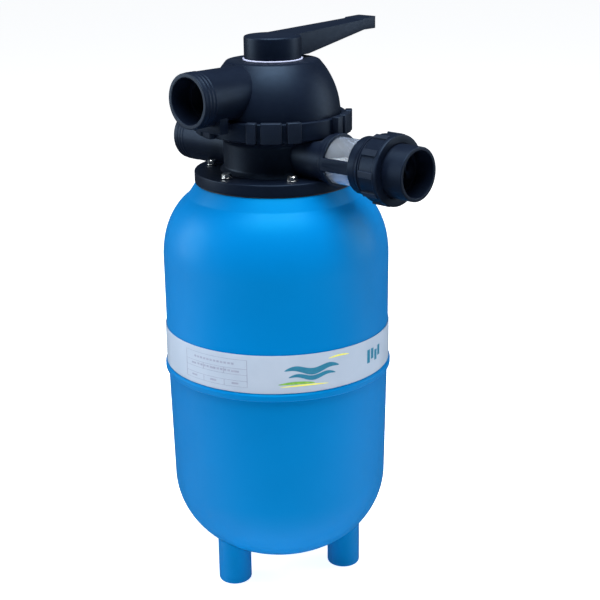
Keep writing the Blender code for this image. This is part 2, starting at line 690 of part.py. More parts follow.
def ring_sweep(name, inner):
    """The space that the ring nut and its grips turn in."""
    return turned(name, ring_profile(inner, SWEEP_RADIUS, SWEEP_BOTTOM, SWEEP_TOP))


def conduit(name, profile, axis, sweep):
    """A port's solid outside, with the ring nut's space taken out of it."""
    solid = turned(name, profile, None, axis, PIPE_STEPS)
    cut(solid, sweep)
    return solid


def build_lower_body():
    neck = BODY_RADIUS + BODY_FLARE
    throat_bottom = VALVE_Z - THROAT_DEPTH
    profile = [(0, COLLAR_TOP)]
    profile += threaded_wall(COLLAR_RADIUS, COLLAR_TOP, COLLAR_BOTTOM, 2, THREAD_DEPTH)
    profile += [
        (neck, COLLAR_BOTTOM - COLLAR_TAPER), (BODY_RADIUS, COLLAR_BOTTOM - COLLAR_TAPER - BODY_FLARE),
        (BODY_RADIUS, FLANGE_TOP + BODY_FLARE + EDGE), (neck, FLANGE_TOP + EDGE),
        (neck + EDGE, FLANGE_TOP),
        (FLANGE_RADIUS - 1.5 * EDGE, FLANGE_TOP), (FLANGE_RADIUS, FLANGE_TOP - 1.5 * EDGE),
        (FLANGE_RADIUS, VALVE_Z), (THROAT_RADIUS, VALVE_Z), (THROAT_RADIUS, throat_bottom),
        (0, throat_bottom),
    ]
    body = turned("valve_lower_body", profile, VALVE_BLACK)
    sweep = ring_sweep("lower_ring_sweep", neck)
    root = WELL_RADIUS
    step = STUB_REACH - STUB_COLLAR_LENGTH
    stub = [(0, STUB_REACH), (STUB_COLLAR, STUB_REACH), (STUB_COLLAR, step)]
    stub += [(CONDUIT_RADIUS, step - 1.5 * EDGE), (CONDUIT_RADIUS, root), (0, root)]
    fuse(body, conduit("stub_outside", stub, UNION_AXIS, sweep))
    port = pipe_profile(root, RETURN_REACH, PIPE_RADIUS)
    fuse(body, conduit("return_port_outside", port, RETURN_AXIS, sweep))
    cut(body, chamber_cutter(throat_bottom), well_cutter(throat_bottom))
    bore_start = WELL_RADIUS + BORE_START
    seat = GLASS_START - ORING_GROOVE
    cut(body, rod("stub_bore", CONDUIT_BORE, bore_start, seat + TINY, parent=UNION_AXIS,
                  steps=PIPE_STEPS))
    cut(body, rod("glass_seat", GLASS_SEAT, seat, STUB_REACH + OVERCUT, parent=UNION_AXIS,
                  steps=PIPE_STEPS))
    socket = RETURN_REACH - SOCKET_DEPTH
    cut(body, rod("return_bore", CONDUIT_BORE, bore_start, socket + TINY, parent=RETURN_AXIS,
                  steps=PIPE_STEPS))
    cut(body, rod("return_socket", SOCKET_RADIUS, socket, RETURN_REACH + OVERCUT,
                  parent=RETURN_AXIS, steps=PIPE_STEPS))
    cut(body, round_pattern(
        "deck_holes", DECK_HOLE_RADIUS, DECK_Z - DECK_THICKNESS - 0.003, DECK_Z + 0.003,
        DECK_HOLE_CIRCLE, DECK_HOLE_COUNT, 0, steps=12,
    ))
    cut(body, round_pattern(
        "flange_bolt_holes", BOLT_RADIUS + BOLT_HOLE_CLEARANCE, VALVE_Z - OVERCUT,
        FLANGE_TOP + 0.004, BOLT_CIRCLE, BOLT_COUNT, BOLT_FIRST_ANGLE, steps=8,
    ))
    use_manifold_solver(body)


def chamber_cutter(throat_bottom):
    """The ring-shaped waterway round the well, open at the throat."""
    throat = THROAT_RADIUS - THROAT_WALL
    floor = VALVE_Z + CHAMBER_FLOOR
    ceiling = DECK_Z - DECK_THICKNESS
    profile = [(CHAMBER_RADIUS, ceiling), (CHAMBER_RADIUS, floor), (throat, floor)]
    profile += [(throat, throat_bottom - OVERCUT), (WELL_RADIUS, throat_bottom - OVERCUT)]
    return turned("chamber", profile + [(WELL_RADIUS, ceiling)])


def well_cutter(throat_bottom):
    """The standpipe's socket, and the recess above the deck for the cover and its O-ring."""
    seat = SPIGOT_OUTER + GAP
    groove = SPIGOT_OUTER + COVER_ORING_WIDTH
    profile = [(0, COLLAR_TOP + OVERCUT), (groove, COLLAR_TOP + OVERCUT), (groove, ORING_LEDGE_Z)]
    profile += [(seat, ORING_LEDGE_Z), (seat, DECK_Z), (WELL_BORE, DECK_Z)]
    profile += [(WELL_BORE, throat_bottom - OVERCUT), (0, throat_bottom - OVERCUT)]
    return turned("well_and_recess", profile)


def build_neck_gasket():
    bottom = NECK_TOP + GAP
    profile = ring_profile(
        NECK_BORE + GAP, NECK_PAD_RADIUS, bottom, bottom + GASKET_THICKNESS,
    )
    gasket = turned("neck_gasket", profile, RUBBER)
    cut(gasket, round_pattern(
        "gasket_bolt_holes", BOLT_RADIUS + BOLT_HOLE_CLEARANCE, bottom - OVERCUT,
        bottom + OVERCUT, BOLT_CIRCLE, BOLT_COUNT, BOLT_FIRST_ANGLE, steps=8,
    ))


def build_flange_bolts():
    washer_bottom = FLANGE_TOP + GAP
    head_bottom = washer_bottom + WASHER_THICKNESS + GAP
    head = BOLT_HEAD_FLATS / math.sqrt(3)
    for i in range(BOLT_COUNT):
        angle = math.radians(BOLT_FIRST_ANGLE + 360 * i / BOLT_COUNT)
        spot = (BOLT_CIRCLE * math.cos(angle), BOLT_CIRCLE * math.sin(angle), 0)
        axis = new_axis(f"bolt_axis_{i + 1}", spot, (0, 0, angle), TANK_AXIS)
        bolt = rod(f"flange_bolt_{i + 1}", head, head_bottom, head_bottom + BOLT_HEAD_HEIGHT,
                   STEEL, axis, steps=6)
        fuse(bolt, rod(f"bolt_shank_{i + 1}", BOLT_RADIUS, NECK_TOP - BOLT_GRIP,
                       head_bottom + 0.001, parent=axis, steps=8))
        turned(f"flange_washer_{i + 1}", ring_profile(
            BOLT_RADIUS + BOLT_HOLE_CLEARANCE, WASHER_RADIUS, washer_bottom,
            washer_bottom + WASHER_THICKNESS,
        ), STEEL, axis, 12)


def build_spider_gasket():
    bottom = DECK_Z + GAP
    top = bottom + SPIDER_THICKNESS
    gasket = turned("spider_gasket", ring_profile(
        ROTOR_RADIUS - SPIDER_SPOKE, ROTOR_RADIUS, bottom, top,
    ), RUBBER)
    fuse(gasket, turned("spider_hub", ring_profile(WELL_BORE, WELL_RADIUS + 0.002, bottom, top),
                        steps=PIPE_STEPS))
    bm = bmesh.new()
    for i in range(DECK_HOLE_COUNT):
        turn = Matrix.Rotation(math.radians(180 / DECK_HOLE_COUNT + 360 * i / DECK_HOLE_COUNT), 4, "Z")
        low = (WELL_RADIUS, -SPIDER_SPOKE / 2, bottom + 0.0001)
        add_box(bm, low, (ROTOR_RADIUS - SPIDER_SPOKE / 2, SPIDER_SPOKE / 2, top - 0.0001), turn)
    fuse(gasket, place("spider_spokes", mesh_from(bm, "spider_spokes"), None, TANK_AXIS))


# ---------------------------------------------------------------- sight glass and union
def build_sight_glass():
    turned("sight_glass_tube", ring_profile(
        GLASS_RADIUS - GLASS_WALL, GLASS_RADIUS, GLASS_START, GLASS_END,
    ), CLEAR, UNION_AXIS, PIPE_STEPS)
    ring = ORING_GROOVE / 2 - GAP
    major = GLASS_RADIUS - GLASS_WALL / 2
    ring_torus("sight_glass_oring_inner", major, ring, GLASS_START - ORING_GROOVE / 2, UNION_AXIS)
    ring_torus("sight_glass_oring_outer", major, ring, GLASS_END + ORING_GROOVE / 2, UNION_AXIS)


def build_cage():
    seat_end = GLASS_END + ORING_GROOVE
    thread = threaded_wall(CAGE_THREAD_RADIUS, CAGE_REACH - 0.001, CAGE_FLANGE_END + 0.004, 4,
                           CAGE_THREAD_PROUD)
    end = [(PIPE_BORE, CAGE_REACH), (CAGE_THREAD_RADIUS, CAGE_REACH)] + thread
    end += [(CAGE_THREAD_RADIUS - 0.002, CAGE_FLANGE_END), (CAGE_FLANGE_RADIUS, CAGE_FLANGE_END)]
    end += [(CAGE_FLANGE_RADIUS, CAGE_END_START), (PIPE_BORE, CAGE_END_START)]
    cage = turned("sight_glass_cage", end, VALVE_BLACK, UNION_AXIS, PIPE_STEPS)
    collar_end = CAGE_START + CAGE_COLLAR_LENGTH
    collar = turned("cage_collar", ring_profile(
        PIPE_BORE, STUB_COLLAR + 0.001, CAGE_START, collar_end,
    ), None, UNION_AXIS, PIPE_STEPS)
    bm = bmesh.new()
    reach = GLASS_SEAT + CAGE_BAR_THICKNESS
    for side in (0, math.pi):
        turn = Matrix.Rotation(side, 4, "Z")
        low = (-CAGE_BAR_WIDTH / 2, PIPE_BORE, CAGE_START + 0.001)
        add_box(bm, low, (CAGE_BAR_WIDTH / 2, reach, CAGE_END_START + 0.002), turn)
    bars = place("cage_bars", mesh_from(bm, "cage_bars"), None, UNION_AXIS)
    fuse(cage, bars, collar)
    cut(cage, rod("cage_glass_space", GLASS_SEAT, CAGE_START - OVERCUT, seat_end,
                  parent=UNION_AXIS, steps=PIPE_STEPS))


def build_union():
    ring_torus("union_oring", PIPE_BORE + UNION_ORING_INSET, UNION_ORING_RADIUS - GAP,
               (CAGE_REACH + TAIL_START) / 2, UNION_AXIS)
    flange_end = TAIL_START + TAIL_FLANGE_LENGTH
    socket = UNION_REACH - TAIL_SOCKET_DEPTH
    tail = [(SOCKET_RADIUS, UNION_REACH), (TAIL_RADIUS - EDGE, UNION_REACH)]
    tail += [(TAIL_RADIUS, UNION_REACH - EDGE), (TAIL_RADIUS, flange_end)]
    tail += [(TAIL_FLANGE_RADIUS, flange_end), (TAIL_FLANGE_RADIUS, TAIL_START)]
    tail += [(PIPE_BORE, TAIL_START), (PIPE_BORE, socket), (SOCKET_RADIUS, socket)]
    turned("union_tail", tail, VALVE_BLACK, UNION_AXIS, PIPE_STEPS)
    lip = NUT_REACH - NUT_LIP
    bore = CAGE_THREAD_RADIUS + CAGE_THREAD_PROUD + NUT_CLEARANCE
    waist = bore + NUT_WALL - NUT_RIB_PROUD / 2
    nut = [(TAIL_RADIUS + NUT_CLEARANCE, NUT_REACH), (NUT_RADIUS - EDGE, NUT_REACH)]
    nut += [(NUT_RADIUS, NUT_REACH - EDGE), (NUT_RADIUS, lip), (waist, lip - 1.5 * EDGE)]
    nut += [(waist, NUT_START), (bore, NUT_START), (bore, lip), (TAIL_RADIUS + NUT_CLEARANCE, lip)]
    nut = turned("union_nut", nut, VALVE_BLACK, UNION_AXIS, VALVE_STEPS)
    bm = bmesh.new()
    for i in range(NUT_RIB_COUNT):
        turn = Matrix.Rotation(math.radians(360 * (i + 0.5) / NUT_RIB_COUNT), 4, "Z")
        low = (bore + 0.001, -NUT_RIB_WIDTH / 2, NUT_START + 0.0008)
        add_box(bm, low, (waist + NUT_RIB_PROUD, NUT_RIB_WIDTH / 2, lip + 0.001), turn)
    fuse(nut, place("nut_ribs", mesh_from(bm, "nut_ribs"), None, UNION_AXIS))


# ---------------------------------------------------------------- cover and ring nut
def dome_outline(inset):
    """The dome's side from its top edge down to its base, a single arc upright at the base."""
    radius = DOME_RADIUS - inset
    height = DOME_HEIGHT - inset
    drop = DOME_RADIUS - DOME_TOP_RADIUS
    arc = (height * height + drop * drop) / (2 * drop)
    sweep = math.asin(height / arc)
    points = []
    for i in range(CROWN_POINTS):
        angle = sweep * (1 - i / (CROWN_POINTS - 1))
        points.append((radius - arc + arc * math.cos(angle), COVER_FLANGE_TOP + arc * math.sin(angle)))
    return points


def build_upper_body():
    flange = RING_BORE - RING_CLEARANCE
    side = dome_outline(0)
    profile = [(0, DOME_TOP), (DOME_TOP_RADIUS - 2.5 * EDGE, DOME_TOP)]
    profile += [(DOME_TOP_RADIUS, DOME_TOP - EDGE)] + side[1:]
    profile += [
        (flange, COVER_FLANGE_TOP), (flange, COVER_FLANGE_Z), (SPIGOT_OUTER, COVER_FLANGE_Z),
        (SPIGOT_OUTER, COVER_FLANGE_Z - COVER_SPIGOT_DEPTH), (0, COVER_FLANGE_Z - COVER_SPIGOT_DEPTH),
    ]
    body = turned("valve_upper_body", profile, VALVE_BLACK)
    port = pipe_profile(PUMP_ROOT, PUMP_REACH, PIPE_RADIUS)
    sweep = ring_sweep("upper_ring_sweep", SPIGOT_OUTER - COVER_SPIGOT_WALL)
    outside = conduit("pump_port_outside", port, PUMP_AXIS, sweep)
    brace = SWEEP_RADIUS + BRACE_LENGTH
    fuse(body, outside)
    fuse(body, box("pump_port_brace", (-BRACE_WIDTH / 2, -brace, VALVE_Z + BRACE_BOTTOM),
                   (BRACE_WIDTH / 2, -SWEEP_RADIUS - TINY, PUMP_Z - 0.002)))
    cut(body, dome_cavity(), stem_hole())
    socket = PUMP_REACH - SOCKET_DEPTH
    cut(body, rod("pump_bore", PUMP_BORE, DOME_TOP_RADIUS - COVER_WALL, socket + TINY,
                  parent=PUMP_AXIS, steps=PIPE_STEPS))
    cut(body, rod("pump_socket", SOCKET_RADIUS, socket, PUMP_REACH + OVERCUT, parent=PUMP_AXIS,
                  steps=PIPE_STEPS))
    use_manifold_solver(body)


def dome_cavity():
    """The inside of the cover, with the boss that guides the stem left standing."""
    ceiling = DOME_TOP - DOME_CROWN
    mouth = SPIGOT_OUTER - COVER_SPIGOT_WALL
    side = [point for point in dome_outline(COVER_WALL) if point[1] < ceiling - 0.002]
    profile = [(side[0][0] - 0.002, ceiling)] + side[:-1]
    profile += [(mouth, COVER_FLANGE_TOP), (mouth, COVER_FLANGE_Z - COVER_SPIGOT_DEPTH - OVERCUT)]
    profile += [(0, COVER_FLANGE_Z - COVER_SPIGOT_DEPTH - OVERCUT)]
    profile = [(0, BOSS_BOTTOM), (STEM_BOSS_RADIUS, BOSS_BOTTOM), (STEM_BOSS_RADIUS, ceiling)] + profile
    return turned("dome_cavity", profile)


def stem_hole():
    bore = STEM_RADIUS + STEM_CLEARANCE
    groove = bore + 2 * STEM_ORING_RADIUS
    low = DOME_TOP - STEM_ORING_DEPTH
    high = low + 2 * STEM_ORING_RADIUS + 2 * GAP
    profile = [(0, DOME_TOP + OVERCUT), (bore, DOME_TOP + OVERCUT), (bore, high), (groove, high)]
    profile += [(groove, low), (bore, low), (bore, BOSS_BOTTOM - OVERCUT), (0, BOSS_BOTTOM - OVERCUT)]
    return turned("stem_hole", profile, steps=PIPE_STEPS)


def build_ring_nut():
    chamfer = 0.0012
    lip_bore = DOME_RADIUS + RING_CLEARANCE
    lip_bottom = RING_TOP - RING_LIP
    profile = [(lip_bore, RING_TOP), (RING_RADIUS - chamfer, RING_TOP)]
    profile += [(RING_RADIUS, RING_TOP - chamfer), (RING_RADIUS, RING_BOTTOM)]
    profile += [(RING_BORE, RING_BOTTOM), (RING_BORE, lip_bottom), (lip_bore, lip_bottom)]
    ring = turned("ring_nut", profile, VALVE_BLACK, steps=TANK_STEPS)
    bm = bmesh.new()
    for group in range(GRIP_GROUPS):
        for angle, width in zip(GRIP_ANGLES, GRIP_WIDTHS):
            turn = Matrix.Rotation(
                math.radians(GRIP_FIRST_ANGLE + angle + 360 * group / GRIP_GROUPS), 4, "Z")
            reach = math.sqrt(GRIP_RADIUS ** 2 - (width / 2) ** 2)
            low = (RING_BORE + RING_WALL / 2, -width / 2, RING_BOTTOM - 0.0004)
            add_box(bm, low, (reach, width / 2, RING_TOP + GRIP_RISE), turn)
    fuse(ring, place("ring_grips", mesh_from(bm, "ring_grips"), None, TANK_AXIS))


def build_valve_seals():
    ring_torus("cover_oring", SPIGOT_OUTER + COVER_ORING_WIDTH / 2, COVER_ORING_RADIUS,
               ORING_LEDGE_Z + COVER_ORING_WIDTH / 2, steps=VALVE_STEPS)
    ring_torus("stem_oring", STEM_RADIUS + STEM_CLEARANCE + STEM_ORING_RADIUS - GAP / 2,
               STEM_ORING_RADIUS - GAP / 2, DOME_TOP - STEM_ORING_DEPTH + STEM_ORING_RADIUS + GAP)


# ---------------------------------------------------------------- rotor, stem and handle
def build_rotor():
    bore = STEM_RADIUS + GAP
    rim = ROTOR_BOTTOM + ROTOR_THICKNESS
    profile = [(ROTOR_HUB_RADIUS, ROTOR_HUB_TOP), (ROTOR_HUB_RADIUS + 0.001, rim + 0.005)]
    profile += [(ROTOR_RADIUS - 0.002, rim), (ROTOR_RADIUS, rim - 0.002), (ROTOR_RADIUS, ROTOR_BOTTOM)]
    profile += [(bore, ROTOR_BOTTOM), (bore, ROTOR_HUB_TOP)]
    rotor = turned("rotor", profile, PALE_PLASTIC)
    cut(rotor, rod("rotor_window", DECK_HOLE_RADIUS, ROTOR_BOTTOM - OVERCUT, ROTOR_HUB_TOP,
                   steps=12, at=(0, -DECK_HOLE_CIRCLE)))


def build_stem():
    stem = rod("stem", STEM_RADIUS, ROTOR_BOTTOM + GAP, STEM_TOP, VALVE_BLACK)
    cross = rod("stem_cross_hole", PIN_RADIUS + GAP, -0.02, 0.02, parent=PIN_AXIS, steps=12)
    cross.rotation_euler = (0, math.pi / 2, 0)
    cut(stem, cross)
    pin = rod("handle_pin", PIN_RADIUS, -PIN_LENGTH / 2, PIN_LENGTH / 2, STEEL, PIN_AXIS, steps=12)
    pin.rotation_euler = (0, math.pi / 2, 0)


def build_spring():
    low = ROTOR_HUB_TOP + GAP + SPRING_WIRE
    high = SPRING_WASHER_BOTTOM - GAP - SPRING_WIRE
    steps_per_turn = 8
    count = SPRING_TURNS * steps_per_turn + 1
    curve = bpy.data.curves.new("rotor_spring", "CURVE")
    curve.dimensions = "3D"
    curve.bevel_depth = SPRING_WIRE
    curve.bevel_resolution = 1
    curve.use_fill_caps = True
    spline = curve.splines.new("POLY")
    spline.points.add(count - 1)
    for i, point in enumerate(spline.points):
        angle = 2 * math.pi * i / steps_per_turn
        height = low + (high - low) * i / (count - 1)
        point.co = (SPRING_RADIUS * math.cos(angle), SPRING_RADIUS * math.sin(angle), height, 1)
    curve.materials.append(STEEL)
    spring = bpy.data.objects.new("rotor_spring", curve)
    spring.parent = TANK_AXIS
    PARTS.objects.link(spring)
    turned("spring_washer", ring_profile(
        STEM_RADIUS + STEM_CLEARANCE, STEM_BOSS_RADIUS, SPRING_WASHER_BOTTOM,
        SPRING_WASHER_BOTTOM + SPRING_WASHER_THICKNESS,
    ), STEEL, steps=SMALL_STEPS)


def lever_plan():
    """The lever from above: tapered, with a round corner at each side of its tip."""
    root, tip, r = LEVER_ROOT_WIDTH / 2, LEVER_TIP_WIDTH / 2, LEVER_CORNER
    right = [(root, 0)]
    for i in range(5):
        angle = math.radians(90 * i / 4)
        right.append((tip - r + r * math.cos(angle), LEVER_REACH - r + r * math.sin(angle)))
    return right + [(-x, y) for x, y in right[::-1]]


def lever_side():
    """The lever from its side, as (distance along it, height above the pin)."""
    bottom, top = -PIN_RISE, HUB_DRUM_HEIGHT - PIN_RISE
    tip_top = LEVER_TIP_RISE - PIN_RISE
    tip_bottom = tip_top - LEVER_TIP_DEPTH
    block = LEVER_REACH - TIP_BLOCK_LENGTH
    slope = (tip_top - TIP_BLOCK_PROUD - top) / LEVER_REACH
    return [
        (0, bottom + 0.002), (LEVER_HEEL, bottom + 0.002), (LEVER_KNEE, tip_bottom),
        (LEVER_REACH, tip_bottom), (LEVER_REACH, tip_top), (block, top + slope * block + TIP_BLOCK_PROUD),
        (block - 0.001, top + slope * block), (0, top),
    ]


def build_handle():
    washer = ring_profile(
        STEM_RADIUS + STEM_CLEARANCE, HANDLE_WASHER_RADIUS, DOME_TOP + GAP, WASHER_TOP)
    turned("handle_washer", washer, PALE_PLASTIC, steps=PIPE_STEPS)
    bottom, top = -PIN_RISE, HUB_DRUM_HEIGHT - PIN_RISE
    edge = 2.5 * EDGE
    drum = [(0, top + HUB_DRUM_CROWN), (0.6 * HUB_DRUM_RADIUS, top + 0.7 * HUB_DRUM_CROWN)]
    drum += [(HUB_DRUM_RADIUS - edge, top), (HUB_DRUM_RADIUS, top - edge)]
    drum += [(HUB_DRUM_RADIUS, bottom), (0, bottom)]
    handle = turned("handle", drum, VALVE_BLACK, PIN_AXIS)
    reach = HUB_DRUM_HEIGHT + LEVER_TIP_RISE
    lever = prism("lever_plan", lever_plan(), -reach, reach, PIN_AXIS)
    side = prism("lever_side", lever_side(), -LEVER_ROOT_WIDTH, LEVER_ROOT_WIDTH, PIN_AXIS,
                 (math.pi / 2, 0, math.pi / 2))
    boolean(lever, side, "INTERSECT")
    fuse(handle, lever)
    slot = rod("stem_slot", STEM_RADIUS + 2 * STEM_CLEARANCE, bottom - OVERCUT,
               STEM_HEADROOM + STEM_SLOT_HEADROOM, parent=PIN_AXIS)
    slot.scale = (1, 1 + STEM_SLOT_SWING / STEM_RADIUS, 1)
    cross = rod("drum_cross_hole", PIN_RADIUS + GAP, -HUB_DRUM_RADIUS - OVERCUT,
                PIN_LENGTH / 2 + PIN_END_ROOM, parent=PIN_AXIS, steps=12)
    cross.rotation_euler = (0, math.pi / 2, 0)
    cut(handle, slot, cross)


# ---------------------------------------------------------------- the whole object
def build():
    build_upper_shell()
    build_lower_shell()
    build_legs()
    build_label()
    build_laterals()
    build_lateral_hub()
    build_standpipe()
    build_sand()
    build_diffuser()
    build_lower_body()
    build_neck_gasket()
    build_flange_bolts()
    build_spider_gasket()
    build_sight_glass()
    build_cage()
    build_union()
    build_upper_body()
    build_ring_nut()
    build_valve_seals()
    build_rotor()
    build_stem()
    build_spring()
    build_handle()


build()
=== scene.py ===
"""The looks of the sand filter tank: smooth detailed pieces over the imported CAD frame, materials,
lights and the camera. Lengths are in metres, in the frame of the CAD model, with +Z up.

Every visible CAD node is replaced by a finer piece of the same size in the same place. The nodes
inside the tank and the valve stay, with better materials.
"""

import json
import math

import bmesh
import bpy
from mathutils import Matrix, Vector


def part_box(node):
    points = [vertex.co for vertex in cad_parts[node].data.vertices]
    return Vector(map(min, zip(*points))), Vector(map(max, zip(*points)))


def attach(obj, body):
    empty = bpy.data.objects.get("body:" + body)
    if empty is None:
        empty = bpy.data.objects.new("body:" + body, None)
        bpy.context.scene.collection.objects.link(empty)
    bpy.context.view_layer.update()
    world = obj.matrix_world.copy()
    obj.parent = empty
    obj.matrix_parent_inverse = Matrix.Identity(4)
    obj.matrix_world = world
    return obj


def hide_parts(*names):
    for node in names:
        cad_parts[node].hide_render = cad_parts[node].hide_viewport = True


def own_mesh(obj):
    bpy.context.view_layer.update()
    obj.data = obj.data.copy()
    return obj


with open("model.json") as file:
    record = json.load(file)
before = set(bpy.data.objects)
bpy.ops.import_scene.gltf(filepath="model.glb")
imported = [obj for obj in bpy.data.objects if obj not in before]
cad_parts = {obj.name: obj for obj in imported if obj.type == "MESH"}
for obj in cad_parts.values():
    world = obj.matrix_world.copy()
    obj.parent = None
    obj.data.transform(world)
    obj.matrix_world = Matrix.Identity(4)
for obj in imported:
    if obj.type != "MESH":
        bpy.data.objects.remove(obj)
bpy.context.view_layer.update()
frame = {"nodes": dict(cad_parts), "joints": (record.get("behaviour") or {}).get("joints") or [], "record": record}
JOINTS = {joint["name"]: joint for joint in frame["joints"]}
MOUNTS = {mount["name"]: mount for mount in frame["record"]["mounts"]}

# ---------------------------------------------------------------- places read from the frame
AXIS_X, AXIS_Y, PIN_Z = JOINTS["handle_press"]["pos_m"]
PORT_Z = JOINTS["union_nut_turn"]["pos_m"][2]
PUMP_Z = MOUNTS["pump_port_rim"]["pos_m"][2]
PUMP_REACH = AXIS_Y - MOUNTS["pump_port_rim"]["pos_m"][1]
RETURN_REACH = AXIS_X - MOUNTS["return_port_rim"]["pos_m"][0]
UNION_REACH = MOUNTS["union_tail_rim"]["pos_m"][0] - AXIS_X
SEAM_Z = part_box("tank_upper_shell")[0].z
NECK_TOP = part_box("tank_upper_shell")[1].z
LABEL_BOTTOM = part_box("label_band")[0].z
LABEL_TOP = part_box("label_band")[1].z
GASKET_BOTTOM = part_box("neck_gasket")[0].z
GASKET_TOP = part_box("neck_gasket")[1].z
COLLAR_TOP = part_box("valve_lower_body")[1].z
RING_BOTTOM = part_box("ring_nut")[0].z + 0.0004
RING_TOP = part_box("ring_nut")[1].z - 0.0025
DOME_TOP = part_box("valve_upper_body")[1].z
DRUM_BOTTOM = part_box("handle")[0].z
LEVER_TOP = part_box("handle")[1].z
LEVER_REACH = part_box("handle")[1].y - AXIS_Y
SPRING_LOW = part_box("rotor_spring")[0].z
SPRING_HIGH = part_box("rotor_spring")[1].z
GLASS_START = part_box("sight_glass_tube")[0].x - AXIS_X
GLASS_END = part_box("sight_glass_tube")[1].x - AXIS_X
CAGE_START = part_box("sight_glass_cage")[0].x - AXIS_X
CAGE_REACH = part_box("sight_glass_cage")[1].x - AXIS_X
NUT_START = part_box("union_nut")[0].x - AXIS_X
NUT_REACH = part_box("union_nut")[1].x - AXIS_X
TAIL_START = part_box("union_tail")[0].x - AXIS_X

# ---------------------------------------------------------------- sizes
GAP = 0.0003  # between pieces that touch
OVERCUT = 0.010

TANK_RADIUS = 0.140
TANK_WALL = 0.004
BEAD_RADIUS = 0.143
BEAD_HEIGHT = 0.0065
SHOULDER_Z = 0.4205
SHOULDER_RISE = 0.0903
SHOULDER_FULLNESS = 2.15
CREST_RADIUS = 0.067
NECK_PAD_RADIUS = 0.0965
NECK_FOOT_RADIUS = 0.107
NECK_BORE = 0.045
NECK_COLLAR_DEPTH = 0.0165
LOWER_WALL_RADIUS = 0.1366
LOWER_TOP_RADIUS = 0.1394
SPIGOT_RADIUS = 0.1357
SPIGOT_HEIGHT = 0.0215
KNUCKLE_Z = 0.1326
BOWL_DEPTH = 0.1036
BOWL_FLAT_RADIUS = 0.0316
BOWL_FULLNESS = 1.95
LEG_CIRCLE = 0.085
LEG_RADIUS = 0.021

VALVE_Z = GASKET_TOP + GAP
FLANGE_RADIUS = 0.098
FLANGE_TOP = VALVE_Z + 0.014
THROAT_RADIUS = 0.0435
THROAT_DEPTH = 0.0165
BODY_RADIUS = 0.062
COLLAR_RADIUS = 0.0815
COLLAR_BOTTOM = COLLAR_TOP - 0.015
THREAD_DEPTH = 0.0027
PIPE_RADIUS = 0.0320
PIPE_BORE = 0.0235
PUMP_BORE = 0.0225
SOCKET_RADIUS = 0.0268
SOCKET_DEPTH = 0.0265
CONDUIT_RADIUS = 0.029
STUB_COLLAR = 0.0305
STUB_REACH = CAGE_START - GAP
CONDUIT_BORE = 0.0185
BOLT_CIRCLE = 0.080
BOLT_RADIUS = 0.003
BOLT_HEAD_FLATS = 0.010
BOLT_HEAD_HEIGHT = 0.0045
WASHER_RADIUS = 0.0065
WASHER_THICKNESS = 0.0012

GLASS_RADIUS = 0.0275
GLASS_WALL = 0.0035
CAGE_THREAD_RADIUS = 0.0352
CAGE_THREAD_PROUD = 0.0012
CAGE_FLANGE_RADIUS = 0.0335
CAGE_END_START = 0.148
CAGE_FLANGE_END = 0.158
CAGE_BAR_WIDTH = 0.015
CAGE_BAR_THICKNESS = 0.0036
CAGE_COLLAR_LENGTH = 0.0045
NUT_RADIUS = 0.041
NUT_LIP = 0.0058
NUT_RIB_COUNT = 10
TAIL_RADIUS = 0.031
TAIL_FLANGE_RADIUS = 0.0355
TAIL_FLANGE_LENGTH = 0.004

COVER_FLANGE_Z = COLLAR_TOP + 0.0005
COVER_FLANGE_TOP = COVER_FLANGE_Z + 0.0042
SPIGOT_OUTER = 0.0723
COVER_WALL = 0.0045
DOME_RADIUS = 0.0808
DOME_TOP_RADIUS = 0.0555
RING_BORE = 0.0848
RING_RADIUS = 0.0875
GRIP_RADIUS = 0.095
SWEEP_RADIUS = 0.0965
SWEEP_TOP = RING_TOP + 0.004
SWEEP_BOTTOM = RING_BOTTOM - 0.0015

STEM_RADIUS = 0.0088
HANDLE_WASHER_RADIUS = 0.036
DRUM_RADIUS = 0.0344
DRUM_HEIGHT = 0.0263
PIN_RADIUS = 0.0029
PIN_HALF_LENGTH = 0.030
LEVER_ROOT_WIDTH = 0.046
LEVER_TIP_WIDTH = 0.029
LEVER_TIP_DEPTH = 0.0150
LEVER_HEEL = 0.040
LEVER_KNEE = 0.147
TIP_BLOCK_LENGTH = 0.026

TANK_STEPS = 160
VALVE_STEPS = 128
PIPE_STEPS = 96
SMALL_STEPS = 64

UP = Matrix.Translation((AXIS_X, AXIS_Y, 0))
UNION = Matrix.Translation((AXIS_X, AXIS_Y, PORT_Z)) @ Matrix.Rotation(math.pi / 2, 4, "Y")
RETURN = Matrix.Translation((AXIS_X, AXIS_Y, PORT_Z)) @ Matrix.Rotation(-math.pi / 2, 4, "Y")
PUMP = Matrix.Translation((AXIS_X, AXIS_Y, PUMP_Z)) @ Matrix.Rotation(math.pi / 2, 4, "X")
PIN = Matrix.Translation((AXIS_X, AXIS_Y, PIN_Z)) @ Matrix.Rotation(math.pi / 2, 4, "Y")


